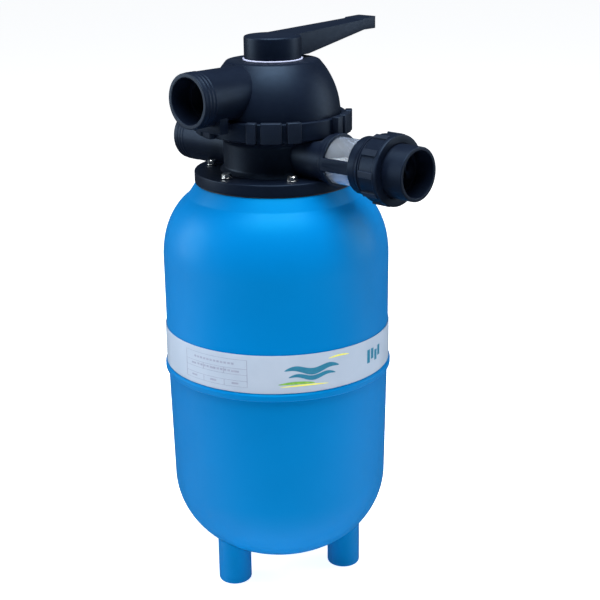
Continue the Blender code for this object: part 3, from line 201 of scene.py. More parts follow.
# ---------------------------------------------------------------- materials
class Nodes:
    """A material's node tree, built by short calls."""

    def __init__(self, name):
        self.material = bpy.data.materials.new(name)
        self.material.use_nodes = True
        self.tree = self.material.node_tree
        self.shader = self.tree.nodes["Principled BSDF"]
        self.place = self.add("ShaderNodeTexCoord").outputs["Object"]

    def add(self, kind, links=(), **settings):
        node = self.tree.nodes.new(kind)
        for key, value in settings.items():
            setattr(node, key, value)
        for socket, source in links:
            self.join(source, node.inputs[socket])
        return node

    def join(self, source, socket):
        if isinstance(source, bpy.types.NodeSocket):
            self.tree.links.new(source, socket)
        else:
            socket.default_value = source

    def noise(self, scale, detail=3.0, roughness=0.5, stretch=(1, 1, 1)):
        mapped = self.add("ShaderNodeMapping", [("Vector", self.place), ("Scale", stretch)])
        node = self.add("ShaderNodeTexNoise", [
            ("Vector", mapped.outputs[0]), ("Scale", scale), ("Detail", detail),
            ("Roughness", roughness),
        ])
        return node.outputs["Fac"]

    def spread(self, source, low, high, start=0.3, end=0.7):
        """The source's range from start to end, spread over low to high."""
        node = self.add("ShaderNodeMapRange", [
            ("Value", source), ("From Min", start), ("From Max", end), ("To Min", low), ("To Max", high),
        ])
        return node.outputs[0]

    def mix(self, amount, first, second):
        node = self.add("ShaderNodeMix", data_type="RGBA")
        self.join(amount, node.inputs["Factor"])
        self.join(first, node.inputs[6])
        self.join(second, node.inputs[7])
        return node.outputs[2]

    def bump(self, height, distance, under=None):
        node = self.add("ShaderNodeBump", [("Height", height), ("Distance", distance)])
        if under is not None:
            self.join(under, node.inputs["Normal"])
        return node.outputs["Normal"]

    def surface(self, **sockets):
        for name, value in sockets.items():
            self.join(value, self.shader.inputs[SOCKET_NAMES.get(name, name.capitalize())])
        return self.material


SOCKET_NAMES = {
    "base_color": "Base Color", "ior": "IOR", "specular": "Specular IOR Level",
    "specular_tint": "Specular Tint", "transmission": "Transmission Weight",
    "coat": "Coat Weight", "coat_roughness": "Coat Roughness",
}


def colour(red, green, blue):
    return (red, green, blue, 1.0)


def tank_plastic():
    """Blow-moulded blue plastic: a soft gloss over faint waves, a fine skin and tonal drift."""
    n = Nodes("tank_blue_plastic")
    drift = n.noise(5.0, detail=2.0)
    skin = n.noise(420.0, detail=2.0)
    waves = n.noise(16.0, detail=1.0, stretch=(1, 1, 0.45))
    flecks = n.noise(1500.0, detail=1.0)
    base = n.mix(n.spread(drift, 0.0, 1.0), colour(0.0, 0.122, 0.345), colour(0.0, 0.138, 0.385))
    base = n.mix(n.spread(flecks, 0.0, 0.06, 0.55, 0.8), base, colour(0.02, 0.34, 0.80))
    normal = n.bump(waves, 0.0007)
    normal = n.bump(skin, 0.00004, normal)
    return n.surface(base_color=base, roughness=n.spread(n.noise(60.0), 0.36, 0.43), normal=normal,
                     specular=0.16, specular_tint=colour(0.0, 0.85, 1.0))


def valve_plastic():
    """Glass-filled black plastic: blue-black, satin, with a fine grain, scuffs and a painted highlight on its
    sharp edges.
    """
    n = Nodes("valve_black_plastic")
    edges = n.add("ShaderNodeNewGeometry").outputs["Pointiness"]
    drift = n.noise(22.0, detail=4.0)
    grain = n.noise(1300.0, detail=2.0)
    scuffs = n.noise(90.0, detail=6.0, roughness=0.7, stretch=(1, 1, 3))
    base = n.mix(n.spread(drift, 0.0, 1.0), colour(0.0016, 0.0030, 0.0085), colour(0.0028, 0.0050, 0.0125))
    base = n.mix(n.spread(scuffs, 0.0, 0.35, 0.60, 0.75), base, colour(0.0070, 0.0105, 0.0190))
    # painted highlight: the sharp convex edges, picked out by their pointiness, are lightened towards blue-grey
    base = n.mix(n.spread(edges, 0.0, 0.55, 0.52, 0.60), base, colour(0.016, 0.021, 0.032))
    normal = n.bump(grain, 0.00005)
    return n.surface(base_color=base, roughness=n.spread(scuffs, 0.40, 0.50), normal=normal, specular=0.20,
                     specular_tint=colour(0.40, 0.66, 1.0))


def label_vinyl():
    """Printed vinyl: pale grey-lilac, smooth, with a faint weave of the film."""
    n = Nodes("label_vinyl")
    drift = n.noise(30.0, detail=3.0)
    base = n.mix(n.spread(drift, 0.0, 1.0), colour(0.30, 0.36, 0.45), colour(0.33, 0.39, 0.48))
    normal = n.bump(n.noise(700.0, detail=1.0), 0.00002)
    return n.surface(base_color=base, roughness=n.spread(drift, 0.34, 0.42), normal=normal, coat=0.15,
                     coat_roughness=0.2)


def ink(name, low, high):
    """Printing ink with an uneven cover."""
    n = Nodes(name)
    base = n.mix(n.spread(n.noise(260.0, detail=3.0), 0.0, 1.0), low, high)
    return n.surface(base_color=base, roughness=n.spread(n.noise(300.0), 0.36, 0.46))


def steel():
    """Turned stainless steel with fine brushing and a little tarnish."""
    n = Nodes("stainless_steel")
    brushing = n.noise(2600.0, detail=2.0, stretch=(1, 1, 0.05))
    stains = n.noise(240.0, detail=4.0)
    base = n.mix(n.spread(stains, 0.0, 1.0), colour(0.66, 0.66, 0.64), colour(0.80, 0.80, 0.79))
    normal = n.bump(brushing, 0.00003)
    return n.surface(base_color=base, metallic=1.0, roughness=n.spread(stains, 0.16, 0.32), normal=normal)


def rubber():
    n = Nodes("seal_rubber")
    bloom = n.noise(120.0, detail=4.0)
    base = n.mix(n.spread(bloom, 0.0, 1.0), colour(0.010, 0.010, 0.011), colour(0.022, 0.022, 0.023))
    normal = n.bump(n.noise(900.0), 0.00005)
    return n.surface(base_color=base, roughness=n.spread(bloom, 0.62, 0.78), normal=normal)


def clear_plastic():
    """The sight tube: clear, with flow lines of the moulding and a hint of blue."""
    n = Nodes("clear_plastic")
    lines = n.noise(60.0, detail=2.0, stretch=(0.3, 1, 1))
    base = n.mix(n.spread(lines, 0.0, 1.0), colour(0.72, 0.82, 1.0), colour(0.82, 0.90, 1.0))
    normal = n.bump(lines, 0.0002)
    return n.surface(base_color=base, roughness=n.spread(lines, 0.05, 0.10), normal=normal,
                     transmission=0.90, ior=1.49)


def moulded(name, low, high, roughness, depth=0.00004):
    """Plain moulded plastic with tonal drift and a fine skin."""
    n = Nodes(name)
    drift = n.noise(35.0, detail=3.0)
    base = n.mix(n.spread(drift, 0.0, 1.0), low, high)
    normal = n.bump(n.noise(1000.0), depth)
    return n.surface(base_color=base, roughness=n.spread(drift, roughness, roughness + 0.08), normal=normal)


def sand():
    """Filter sand: mixed grains of quartz, from pale to brown."""
    n = Nodes("filter_sand")
    grains = n.add("ShaderNodeTexVoronoi", [("Vector", n.place), ("Scale", 900.0)])
    tone = n.add("ShaderNodeSeparateColor", [("Color", grains.outputs["Color"])]).outputs[0]
    base = n.mix(tone, colour(0.30, 0.22, 0.12), colour(0.72, 0.62, 0.45))
    normal = n.bump(grains.outputs["Distance"], 0.0006)
    return n.surface(base_color=base, roughness=n.spread(tone, 0.75, 0.95, 0, 1), normal=normal)


TANK_BLUE = tank_plastic()
VALVE_BLACK = valve_plastic()
LABEL = label_vinyl()
INK_GREY = ink("ink_grey", colour(0.20, 0.22, 0.30), colour(0.27, 0.29, 0.37))
INK_TEAL = ink("ink_teal", colour(0.0, 0.130, 0.230), colour(0.0, 0.165, 0.270))
INK_GREEN = ink("ink_green", colour(0.10, 0.30, 0.035), colour(0.20, 0.42, 0.04))
INK_YELLOW = ink("ink_yellow", colour(0.62, 0.60, 0.06), colour(0.72, 0.70, 0.10))
STEEL = steel()
RUBBER = rubber()
CLEAR = clear_plastic()
PALE = moulded("pale_plastic", colour(0.42, 0.45, 0.62), colour(0.50, 0.53, 0.70), 0.38)
WHITE_PIPE = moulded("white_pipe", colour(0.74, 0.75, 0.74), colour(0.82, 0.83, 0.82), 0.36)
SAND = sand()


# ---------------------------------------------------------------- mesh tools
def object_of(name, mesh):
    obj = bpy.data.objects.new(name, mesh)
    bpy.context.scene.collection.objects.link(obj)
    return obj


def rounded(corners, points=6):
    """A closed outline whose corners (x, y, radius) are rounded by arcs."""
    outline = []
    for i, corner in enumerate(corners):
        here = Vector(corner[:2])
        radius = corner[2] if len(corner) > 2 else 0
        if radius == 0:
            outline.append(tuple(here))
            continue
        before = Vector(corners[i - 1][:2]) - here
        after = Vector(corners[(i + 1) % len(corners)][:2]) - here
        half = before.angle(after) / 2
        back = min(radius / math.tan(half), 0.49 * before.length, 0.49 * after.length)
        start = here + before.normalized() * back
        end = here + after.normalized() * back
        for k in range(points + 1):
            t = k / points
            outline.append(tuple((1 - t) ** 2 * start + 2 * t * (1 - t) * here + t * t * end))
    return outline


def lathe(name, outline, matrix=UP, steps=VALVE_STEPS):
    """The outline (radius, height) turned about the matrix's Z axis, as a closed mesh."""
    bm = bmesh.new()
    rings = []
    for radius, height in outline:
        if radius < 1e-7:
            rings.append([bm.verts.new((0, 0, height))] * steps)
            continue
        turns = [2 * math.pi * k / steps for k in range(steps)]
        rings.append([bm.verts.new((radius * math.cos(a), radius * math.sin(a), height)) for a in turns])
    for i, ring in enumerate(rings):
        following = rings[(i + 1) % len(rings)]
        for k in range(steps):
            j = (k + 1) % steps
            corners = []
            for vert in (ring[k], ring[j], following[j], following[k]):
                if vert not in corners:
                    corners.append(vert)
            if len(corners) > 2:
                bm.faces.new(corners)
    return closed_object(name, bm, matrix)


def closed_object(name, bm, matrix):
    bmesh.ops.recalc_face_normals(bm, faces=bm.faces)
    bmesh.ops.transform(bm, matrix=matrix, verts=bm.verts)
    mesh = bpy.data.meshes.new(name)
    bm.to_mesh(mesh)
    bm.free()
    return object_of(name, mesh)


def prism(name, outline, low, high, matrix=UP):
    """The outline (x, y) from low to high along the matrix's Z axis."""
    bm = bmesh.new()
    ends = [[bm.verts.new((x, y, z)) for x, y in outline] for z in (low, high)]
    count = len(outline)
    bm.faces.new(ends[0][::-1])
    bm.faces.new(ends[1])
    for k in range(count):
        j = (k + 1) % count
        bm.faces.new((ends[0][k], ends[0][j], ends[1][j], ends[1][k]))
    return closed_object(name, bm, matrix)


def block(name, low, high, matrix=UP):
    outline = [(low[0], low[1]), (high[0], low[1]), (high[0], high[1]), (low[0], high[1])]
    return prism(name, outline, low[2], high[2], matrix)


def rod(name, radius, low, high, matrix=UP, steps=PIPE_STEPS):
    return lathe(name, [(0, high), (radius, high), (radius, low), (0, low)], matrix, steps)


def settle(obj):
    """Applies the object's modifiers."""
    graph = bpy.context.evaluated_depsgraph_get()
    mesh = bpy.data.meshes.new_from_object(obj.evaluated_get(graph))
    obj.modifiers.clear()
    old, obj.data = obj.data, mesh
    bpy.data.meshes.remove(old)


def combine(obj, operation, *others):
    """A Boolean with each of the others, which are used up."""
    for other in others:
        modifier = obj.modifiers.new(operation, "BOOLEAN")
        modifier.operation = operation
        modifier.solver = "MANIFOLD"
        modifier.object = other
        settle(obj)
        bpy.data.objects.remove(other)
    return obj


def cut(obj, *others):
    return combine(obj, "DIFFERENCE", *others)


def fuse(obj, *others):
    return combine(obj, "UNION", *others)


def soften(obj, width, segments=3, angle=35):
    """Rounds the sharp edges."""
    bevel = obj.modifiers.new("Soften", "BEVEL")
    bevel.width = width
    bevel.segments = segments
    bevel.limit_method = "ANGLE"
    bevel.angle_limit = math.radians(angle)
    bevel.miter_outer = "MITER_ARC"
    settle(obj)
    return obj


def piece(obj, body, material, slot, *nodes, angle=35):
    """Gives a finished piece its material and shading, the body it rides on and the nodes it replaces."""
    obj.data.materials.clear()
    obj.data.materials.append(material)
    obj.data.shade_smooth()
    obj.data.set_sharp_from_angle(angle=math.radians(angle))
    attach(obj, body)
    if nodes:
        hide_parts(*nodes)
    return obj


def crown(flat_radius, wall_radius, rise, fullness, stop_radius=None, points=40):
    """Points (radius, rise) of a dome from its foot up to its flat top, or up to stop_radius."""
    reach = wall_radius - flat_radius
    end = math.pi / 2
    if stop_radius is not None:
        end = math.acos(((stop_radius - flat_radius) / reach) ** (fullness / 2))
    outline = []
    for i in range(points):
        angle = end * i / (points - 1)
        radius = flat_radius + reach * max(math.cos(angle), 0) ** (2 / fullness)
        outline.append((radius, rise * math.sin(angle) ** (2 / fullness)))
    return outline


# ---------------------------------------------------------------- tank
def shoulder(inset, stop_radius):
    rising = crown(CREST_RADIUS, TANK_RADIUS - inset, SHOULDER_RISE - inset, SHOULDER_FULLNESS, stop_radius)
    return [(radius, SHOULDER_Z + height) for radius, height in rising]


def bowl(inset):
    rising = crown(BOWL_FLAT_RADIUS, LOWER_WALL_RADIUS - inset, BOWL_DEPTH - inset, BOWL_FULLNESS)
    return [(radius, KNUCKLE_Z - depth) for radius, depth in rising]


def make_upper_shell():
    inner = TANK_RADIUS - TANK_WALL
    outline = [(NECK_BORE, NECK_TOP)]
    slope = shoulder(0, NECK_FOOT_RADIUS)[::-1]
    outline += rounded([(NECK_BORE, NECK_TOP), (NECK_PAD_RADIUS, NECK_TOP, 0.0006),
                        (*slope[0], 0.009), slope[4]])[1:]
    outline += slope[5:]
    bead = SEAM_Z + BEAD_HEIGHT
    outline += rounded([
        (inner, bead + 0.01), (TANK_RADIUS, bead + 0.004, 0.002),
        (TANK_RADIUS + 0.0002, bead + 0.003, 0.0012),
        (BEAD_RADIUS, bead + 0.0005, 0.0016), (BEAD_RADIUS, SEAM_Z, 0.0018), (inner, SEAM_Z),
    ])[1:]
    outline += shoulder(TANK_WALL, NECK_PAD_RADIUS + GAP)
    outline += [(NECK_PAD_RADIUS, NECK_TOP - NECK_COLLAR_DEPTH), (NECK_BORE, NECK_TOP - NECK_COLLAR_DEPTH)]
    shell = lathe("tank_top_shell", outline, steps=TANK_STEPS)
    piece(shell, "tank", TANK_BLUE, "tank_blue", "tank_upper_shell", angle=50)


def make_lower_shell():
    top = SEAM_Z + SPIGOT_HEIGHT
    rim = SEAM_Z - GAP
    outline = [(SPIGOT_RADIUS - TANK_WALL, top), (SPIGOT_RADIUS, top), (SPIGOT_RADIUS, rim)]
    outline += rounded([(SPIGOT_RADIUS, rim), (LOWER_TOP_RADIUS, rim, 0.0012),
                        (LOWER_WALL_RADIUS, KNUCKLE_Z)])[1:-1]
    outline += bowl(0)
    outline += [(0, KNUCKLE_Z - BOWL_DEPTH), (0, KNUCKLE_Z - BOWL_DEPTH + TANK_WALL)]
    outline += bowl(TANK_WALL)[::-1]
    outline += [(LOWER_TOP_RADIUS - TANK_WALL, rim - 0.012), (SPIGOT_RADIUS - TANK_WALL, rim - TANK_WALL)]
    shell = lathe("tank_bottom_shell", outline, steps=TANK_STEPS)
    piece(shell, "tank", TANK_BLUE, "tank_blue", "tank_lower_shell", angle=50)


def make_legs():
    for i in range(3):
        angle = math.radians(-90 + 120 * i)
        spot = Matrix.Translation((LEG_CIRCLE * math.cos(angle), LEG_CIRCLE * math.sin(angle), 0))
        sole = rounded([(LEG_RADIUS, KNUCKLE_Z), (LEG_RADIUS, 0, 0.004), (0, 0)])[1:]
        outline = [(0, KNUCKLE_Z), (LEG_RADIUS, KNUCKLE_Z)] + sole
        leg = lathe(f"tank_leg_{i + 1}", outline, UP @ spot, SMALL_STEPS)
        above = [(0, SEAM_Z), (LOWER_TOP_RADIUS, SEAM_Z)] + bowl(-GAP) + [(0, KNUCKLE_Z - BOWL_DEPTH - GAP)]
        cut(leg, lathe("bowl_space", above, steps=TANK_STEPS))
        piece(leg, "tank", TANK_BLUE, "tank_blue", f"leg_{i + 1}")


# ---------------------------------------------------------------- label
def ribbon(bm, samples, inner, outer):
    """A raised strip round the tank, through samples (degrees, lower height, upper height)."""
    sections = []
    for degrees, low, high in samples:
        angle = math.radians(degrees)
        direction = Vector((math.cos(angle), math.sin(angle), 0))
        sections.append([
            bm.verts.new(direction * radius + Vector((0, 0, height)))
            for radius, height in ((inner, low), (outer, low), (outer, high), (inner, high))
        ])
    bm.faces.new(sections[0][::-1])
    bm.faces.new(sections[-1])
    for first, second in zip(sections, sections[1:]):
        for k in range(4):
            j = (k + 1) % 4
            bm.faces.new((first[k], first[j], second[j], second[k]))


def bar(start, end, low, high):
    """Samples of a straight strip, a degree or less apart."""
    count = max(2, int(abs(end - start)) + 2)
    return [(start + (end - start) * i / (count - 1), low, high) for i in range(count)]


def printed(name, material, strips):
    """A print on the label. Its heights are shares of the label's own height."""
    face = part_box("label_band")[1].x - AXIS_X
    height = LABEL_TOP - LABEL_BOTTOM
    bm = bmesh.new()
    for strip in strips:
        ribbon(bm, [(a, LABEL_BOTTOM + low * height, LABEL_BOTTOM + high * height) for a, low, high in strip],
               face - 0.0001, face + 0.00012)
    obj = closed_object(name, bm, UP)
    piece(obj, "tank", material, "label_grey")


def table_strips():
    """A plain data table: its frame, its rules, and short dashes where figures would stand."""
    left, right = -96.0, -60.0
    line = 0.008
    rows = (0.14, 0.30, 0.46, 0.62, 0.86)
    strips = [bar(left, right, y, y + line) for y in rows]
    columns = {left: (0, 4), right: (0, 4), -84.0: (0, 1), -72.0: (0, 1), -84.1: (2, 3), -72.1: (2, 3)}
    for angle, (first, last) in columns.items():
        strips.append(bar(angle - 0.15, angle + 0.15, rows[first], rows[last] + line))
    words = [(-92, -88.5, 0), (-80, -76.5, 0), (-68, -64.5, 0), (-92, -89, 2), (-80, -77, 2), (-68, -64, 2)]
    for start, end, row in words:
        low = (rows[row] + rows[row + 1]) / 2 - 0.015
        strips.append(bar(start, end, low, low + 0.045))
    for start, end, low in ((-90, -66, 0.72), (-88, -69, 0.53)):
        angle = start
        while angle < end:
            strips.append(bar(angle, angle + 1.3, low, low + 0.05))
            angle += 2.0
    return strips


def wave_strip(start, end, middle, depth, swing, turns):
    """A wavy strip that tapers to a point at both ends."""
    samples = []
    for i in range(41):
        t = i / 40
        height = middle + swing * math.sin(2 * math.pi * turns * t)
        half = depth / 2 * math.sin(math.pi * t) ** 0.6 + 0.002
        samples.append((start + (end - start) * t, height - half, height + half))
    return samples


def make_label():
    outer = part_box("label_band")[1].x - AXIS_X
    inner = TANK_RADIUS + GAP
    outline = rounded([(inner, LABEL_TOP), (outer, LABEL_TOP, 0.0003), (outer, LABEL_BOTTOM, 0.0003),
                       (inner, LABEL_BOTTOM)], points=3)
    band = lathe("label_sleeve", outline, steps=2 * TANK_STEPS)
    piece(band, "tank", LABEL, "label_grey", "label_band")
    printed("label_table_print", INK_GREY, table_strips())
    printed("label_wave_print", INK_TEAL, [
        wave_strip(-42, -14, 0.60, 0.17, 0.055, 1.5), wave_strip(-40, -16, 0.42, 0.12, 0.045, 1.5)])
    printed("label_crest_print", INK_GREEN, [wave_strip(-45, -27, 0.24, 0.07, 0.03, 0.5)])
    printed("label_spray_print", INK_YELLOW, [
        wave_strip(-44, -20, 0.17, 0.035, 0.03, 0.5), wave_strip(-20, -8, 0.82, 0.04, 0.03, 0.5)])
    blocks = [(5, 7.2, 0.36, 0.72), (8.2, 10.4, 0.44, 0.72),
              (11.4, 13.6, 0.36, 0.64), (14.6, 16.8, 0.44, 0.72)]
    printed("label_block_print", INK_TEAL, [bar(*block) for block in blocks])


# ---------------------------------------------------------------- valve lower body
def ridged(radius, top, bottom, count, proud):
    """An outer wall from top to bottom with round-crested ridges."""
    pitch = (top - bottom) / count
    outline = []
    for i in range(8 * count + 1):
        along = i / 8
        swell = max(0.0, math.sin(2 * math.pi * (along - 0.25)) * 0.5 + 0.5)
        outline.append((radius + proud * swell, top - pitch * along))
    return outline


def threaded(radius, top, bottom, count, proud):
    """An outer wall from top to bottom with square-shouldered threads."""
    pitch = (top - bottom) / count
    outline = [(radius, top)]
    for i in range(count):
        start = top - pitch * i
        outline += [(radius, start - 0.20 * pitch), (radius + proud, start - 0.40 * pitch),
                    (radius + proud, start - 0.60 * pitch), (radius, start - 0.80 * pitch)]
    return outline + [(radius, bottom)]


def port_outline(root, reach, radius):
    """A port's outside: a rounded lip, a plain land, three ridges and the plain pipe."""
    lip = rounded([(0, reach), (radius, reach, 0.0012), (radius, root)])[1:-1]
    ridges = ridged(radius, reach - 0.004, reach - 0.019, 3, 0.0005)
    return [(0, reach)] + lip + ridges + [(radius, root), (0, root)]


def ring_space(inner):
    """The space that the ring nut and its grips turn in."""
    outline = [(SWEEP_RADIUS, SWEEP_TOP), (SWEEP_RADIUS, SWEEP_BOTTOM),
               (inner, SWEEP_BOTTOM), (inner, SWEEP_TOP)]
    return lathe("ring_space", outline)


def socket_cutter(name, reach, bore, start, matrix):
    """A port's bore with its pipe socket and the socket's rounded mouth."""
    depth = reach - SOCKET_DEPTH
    outline = [(0, reach + OVERCUT), (SOCKET_RADIUS + 0.012, reach + OVERCUT)]
    outline += rounded([(SOCKET_RADIUS + 0.012, reach + 0.0112), (SOCKET_RADIUS, reach - 0.0008, 0.0006),
                        (SOCKET_RADIUS, depth)])[1:-1]
    outline += [(SOCKET_RADIUS, depth), (bore, depth), (bore, start), (0, start)]
    return lathe(name, outline, matrix, PIPE_STEPS)


def make_lower_body():
    neck = BODY_RADIUS + 0.004
    throat_bottom = VALVE_Z - THROAT_DEPTH
    outline = [(0, COLLAR_TOP)]
    outline += threaded(COLLAR_RADIUS, COLLAR_TOP, COLLAR_BOTTOM, 3, THREAD_DEPTH - 0.0002)
    outline += rounded([
        (COLLAR_RADIUS, COLLAR_BOTTOM), (neck, COLLAR_BOTTOM - 0.006, 0.003),
        (BODY_RADIUS, COLLAR_BOTTOM - 0.010, 0.004),
        (BODY_RADIUS, FLANGE_TOP + 0.005, 0.004), (neck + 0.001, FLANGE_TOP, 0.001),
        (FLANGE_RADIUS, FLANGE_TOP, 0.0018), (FLANGE_RADIUS, VALVE_Z, 0.0008), (THROAT_RADIUS, VALVE_Z, 0),
        (THROAT_RADIUS, throat_bottom), (0, throat_bottom),
    ])[1:]
    body = lathe("valve_base", outline)
    well = 0.0208
    stub_end = [(0, STUB_REACH)] + rounded([
        (0, STUB_REACH), (STUB_COLLAR, STUB_REACH, 0.0008), (STUB_COLLAR, STUB_REACH - 0.0035, 0.0008),
        (CONDUIT_RADIUS, STUB_REACH - 0.005, 0.001), (CONDUIT_RADIUS, well)])[1:-1]
    stub = lathe("stub", stub_end + [(CONDUIT_RADIUS, well), (0, well)], UNION, PIPE_STEPS)
    port = lathe("port", port_outline(well, RETURN_REACH, PIPE_RADIUS), RETURN, PIPE_STEPS)
    cut(stub, ring_space(neck))
    cut(port, ring_space(neck))
    fuse(body, stub, port)
    chamber = BODY_RADIUS - 0.005
    throat = THROAT_RADIUS - 0.0035
    ceiling = VALVE_Z + 0.0645
    cut(body, lathe("chamber", [
        (chamber, ceiling), (chamber, VALVE_Z + 0.018), (throat, VALVE_Z + 0.018),
        (throat, throat_bottom - OVERCUT), (well, throat_bottom - OVERCUT), (well, ceiling)]))
    deck = VALVE_Z + 0.0685
    cut(body, lathe("recess", [
        (0, COLLAR_TOP + OVERCUT), (SPIGOT_OUTER + 0.0042, COLLAR_TOP + OVERCUT),
        (SPIGOT_OUTER + 0.0042, COLLAR_TOP - 0.0037), (SPIGOT_OUTER + GAP, COLLAR_TOP - 0.0037),
        (SPIGOT_OUTER + GAP, deck), (0.017, deck), (0.017, throat_bottom - OVERCUT),
        (0, throat_bottom - OVERCUT)]))
    for i in range(6):
        spot = Matrix.Rotation(math.radians(60 * i), 4, "Z") @ Matrix.Translation((0.040, 0, 0))
        cut(body, rod("deck_hole", 0.0095, deck - 0.007, deck + 0.003, UP @ spot, 40))
    cut(body, rod("stub_bore", CONDUIT_BORE, well + 0.010, GLASS_START - 0.0034, UNION))
    cut(body, rod("glass_seat", GLASS_RADIUS + GAP, GLASS_START - 0.0035, STUB_REACH + OVERCUT, UNION))
    cut(body, socket_cutter("return_socket", RETURN_REACH, CONDUIT_BORE, well + 0.010, RETURN))
    piece(body, "tank", VALVE_BLACK, "valve_black", "valve_lower_body")


def make_neck_gasket():
    edge = NECK_PAD_RADIUS + 0.0004
    outline = rounded([(NECK_BORE + GAP, GASKET_TOP), (edge, GASKET_TOP, 0.0004),
                       (edge, GASKET_BOTTOM, 0.0004),
                       (NECK_BORE + GAP, GASKET_BOTTOM)], points=4)
    piece(lathe("flange_gasket", outline), "tank", RUBBER, "seal_rubber", "neck_gasket")


def make_bolts():
    washer_low = FLANGE_TOP + GAP
    head_low = washer_low + WASHER_THICKNESS + GAP
    head_top = head_low + BOLT_HEAD_HEIGHT
    corner = BOLT_HEAD_FLATS / math.sqrt(3)
    for i in range(6):
        angle = math.radians(-30 + 60 * i)
        spot = UP @ Matrix.Rotation(angle, 4, "Z") @ Matrix.Translation((BOLT_CIRCLE, 0, 0))
        turn = spot @ Matrix.Rotation(math.radians(17 * i), 4, "Z")
        hexagon = [(corner * math.cos(math.pi * k / 3), corner * math.sin(math.pi * k / 3)) for k in range(6)]
        head = prism(f"flange_screw_{i + 1}", hexagon, head_low, head_top, turn)
        dome = [(0, head_top), (0.78 * corner, head_top), (1.02 * corner, head_top - 0.0012),
                (1.02 * corner, head_low - 0.001), (0, head_low - 0.001)]
        combine(head, "INTERSECT", lathe("head_chamfer", dome, spot, SMALL_STEPS))
        fuse(head, rod("shank", BOLT_RADIUS, NECK_TOP - 0.011, head_low + 0.001, spot, 24))
        piece(head, "tank", STEEL, "steel", f"flange_bolt_{i + 1}", angle=20)
        inner = BOLT_RADIUS + 0.0004
        outline = rounded([
            (inner, washer_low + WASHER_THICKNESS), (WASHER_RADIUS, washer_low + WASHER_THICKNESS, 0.0003),
            (WASHER_RADIUS, washer_low, 0.0003), (inner, washer_low)], points=3)
        washer = lathe(f"flange_plate_{i + 1}", outline, spot, SMALL_STEPS)
        piece(washer, "tank", STEEL, "steel", f"flange_washer_{i + 1}")


# ---------------------------------------------------------------- sight glass and union
def seal_ring(name, major, minor, height, matrix, body, node, steps=PIPE_STEPS):
    sides = 14
    turns = [2 * math.pi * k / sides for k in range(sides)]
    outline = [(major + minor * math.cos(a), height + minor * math.sin(a)) for a in turns]
    piece(lathe(name, outline, matrix, steps), body, RUBBER, "seal_rubber", node)


def make_sight_glass():
    inner = GLASS_RADIUS - GLASS_WALL
    outline = rounded([
        (inner, GLASS_END, 0.0006), (GLASS_RADIUS, GLASS_END, 0.0006), (GLASS_RADIUS, GLASS_START, 0.0006),
        (inner, GLASS_START, 0.0006)], points=4)
    piece(lathe("sight_tube", outline, UNION, PIPE_STEPS), "tank", CLEAR, "clear_plastic", "sight_glass_tube")
    middle = GLASS_RADIUS - GLASS_WALL / 2
    seal_ring("sight_seal_inner", middle, 0.00145, GLASS_START - 0.00175, UNION, "tank",
              "sight_glass_oring_inner")
    seal_ring("sight_seal_outer", middle, 0.00145, GLASS_END + 0.00175, UNION, "tank",
              "sight_glass_oring_outer")
    seal_ring("union_seal", PIPE_BORE + 0.005, 0.0010, (CAGE_REACH + TAIL_START) / 2, UNION, "tank",
              "union_oring")


def make_cage():
    seat = GLASS_RADIUS + GAP
    outline = [(PIPE_BORE, CAGE_REACH)]
    outline += rounded([(PIPE_BORE, CAGE_REACH), (CAGE_THREAD_RADIUS, CAGE_REACH, 0.0005),
                        (CAGE_THREAD_RADIUS, CAGE_REACH - 0.01)])[1:-1]
    outline += threaded(CAGE_THREAD_RADIUS, CAGE_REACH - 0.001, CAGE_FLANGE_END + 0.004, 6, CAGE_THREAD_PROUD)
    outline += rounded([
        (CAGE_THREAD_RADIUS, CAGE_FLANGE_END + 0.004), (CAGE_THREAD_RADIUS - 0.002, CAGE_FLANGE_END, 0.0005),
        (CAGE_FLANGE_RADIUS, CAGE_FLANGE_END, 0.0005), (CAGE_FLANGE_RADIUS, CAGE_END_START, 0.0010),
        (PIPE_BORE, CAGE_END_START)])[1:]
    cage = lathe("sight_frame", outline, UNION, PIPE_STEPS)
    collar = lathe("collar", rounded([
        (PIPE_BORE, CAGE_START + CAGE_COLLAR_LENGTH),
        (STUB_COLLAR + 0.001, CAGE_START + CAGE_COLLAR_LENGTH, 0.0008),
        (STUB_COLLAR + 0.001, CAGE_START, 0.0008), (PIPE_BORE, CAGE_START)]), UNION, PIPE_STEPS)
    reach = seat + CAGE_BAR_THICKNESS
    half = CAGE_BAR_WIDTH / 2
    for side in (0, math.pi):
        section = rounded([(-half, PIPE_BORE), (-half, reach, 0.0012),
                           (half, reach, 0.0012), (half, PIPE_BORE)])
        turn = UNION @ Matrix.Rotation(side, 4, "Z")
        fuse(cage, prism("bar", section, CAGE_START + 0.001, CAGE_END_START + 0.002, turn))
    fuse(cage, collar)
    cut(cage, rod("glass_space", seat, CAGE_START - OVERCUT, GLASS_END + 0.0035, UNION))
    piece(cage, "tank", VALVE_BLACK, "valve_black", "sight_glass_cage")


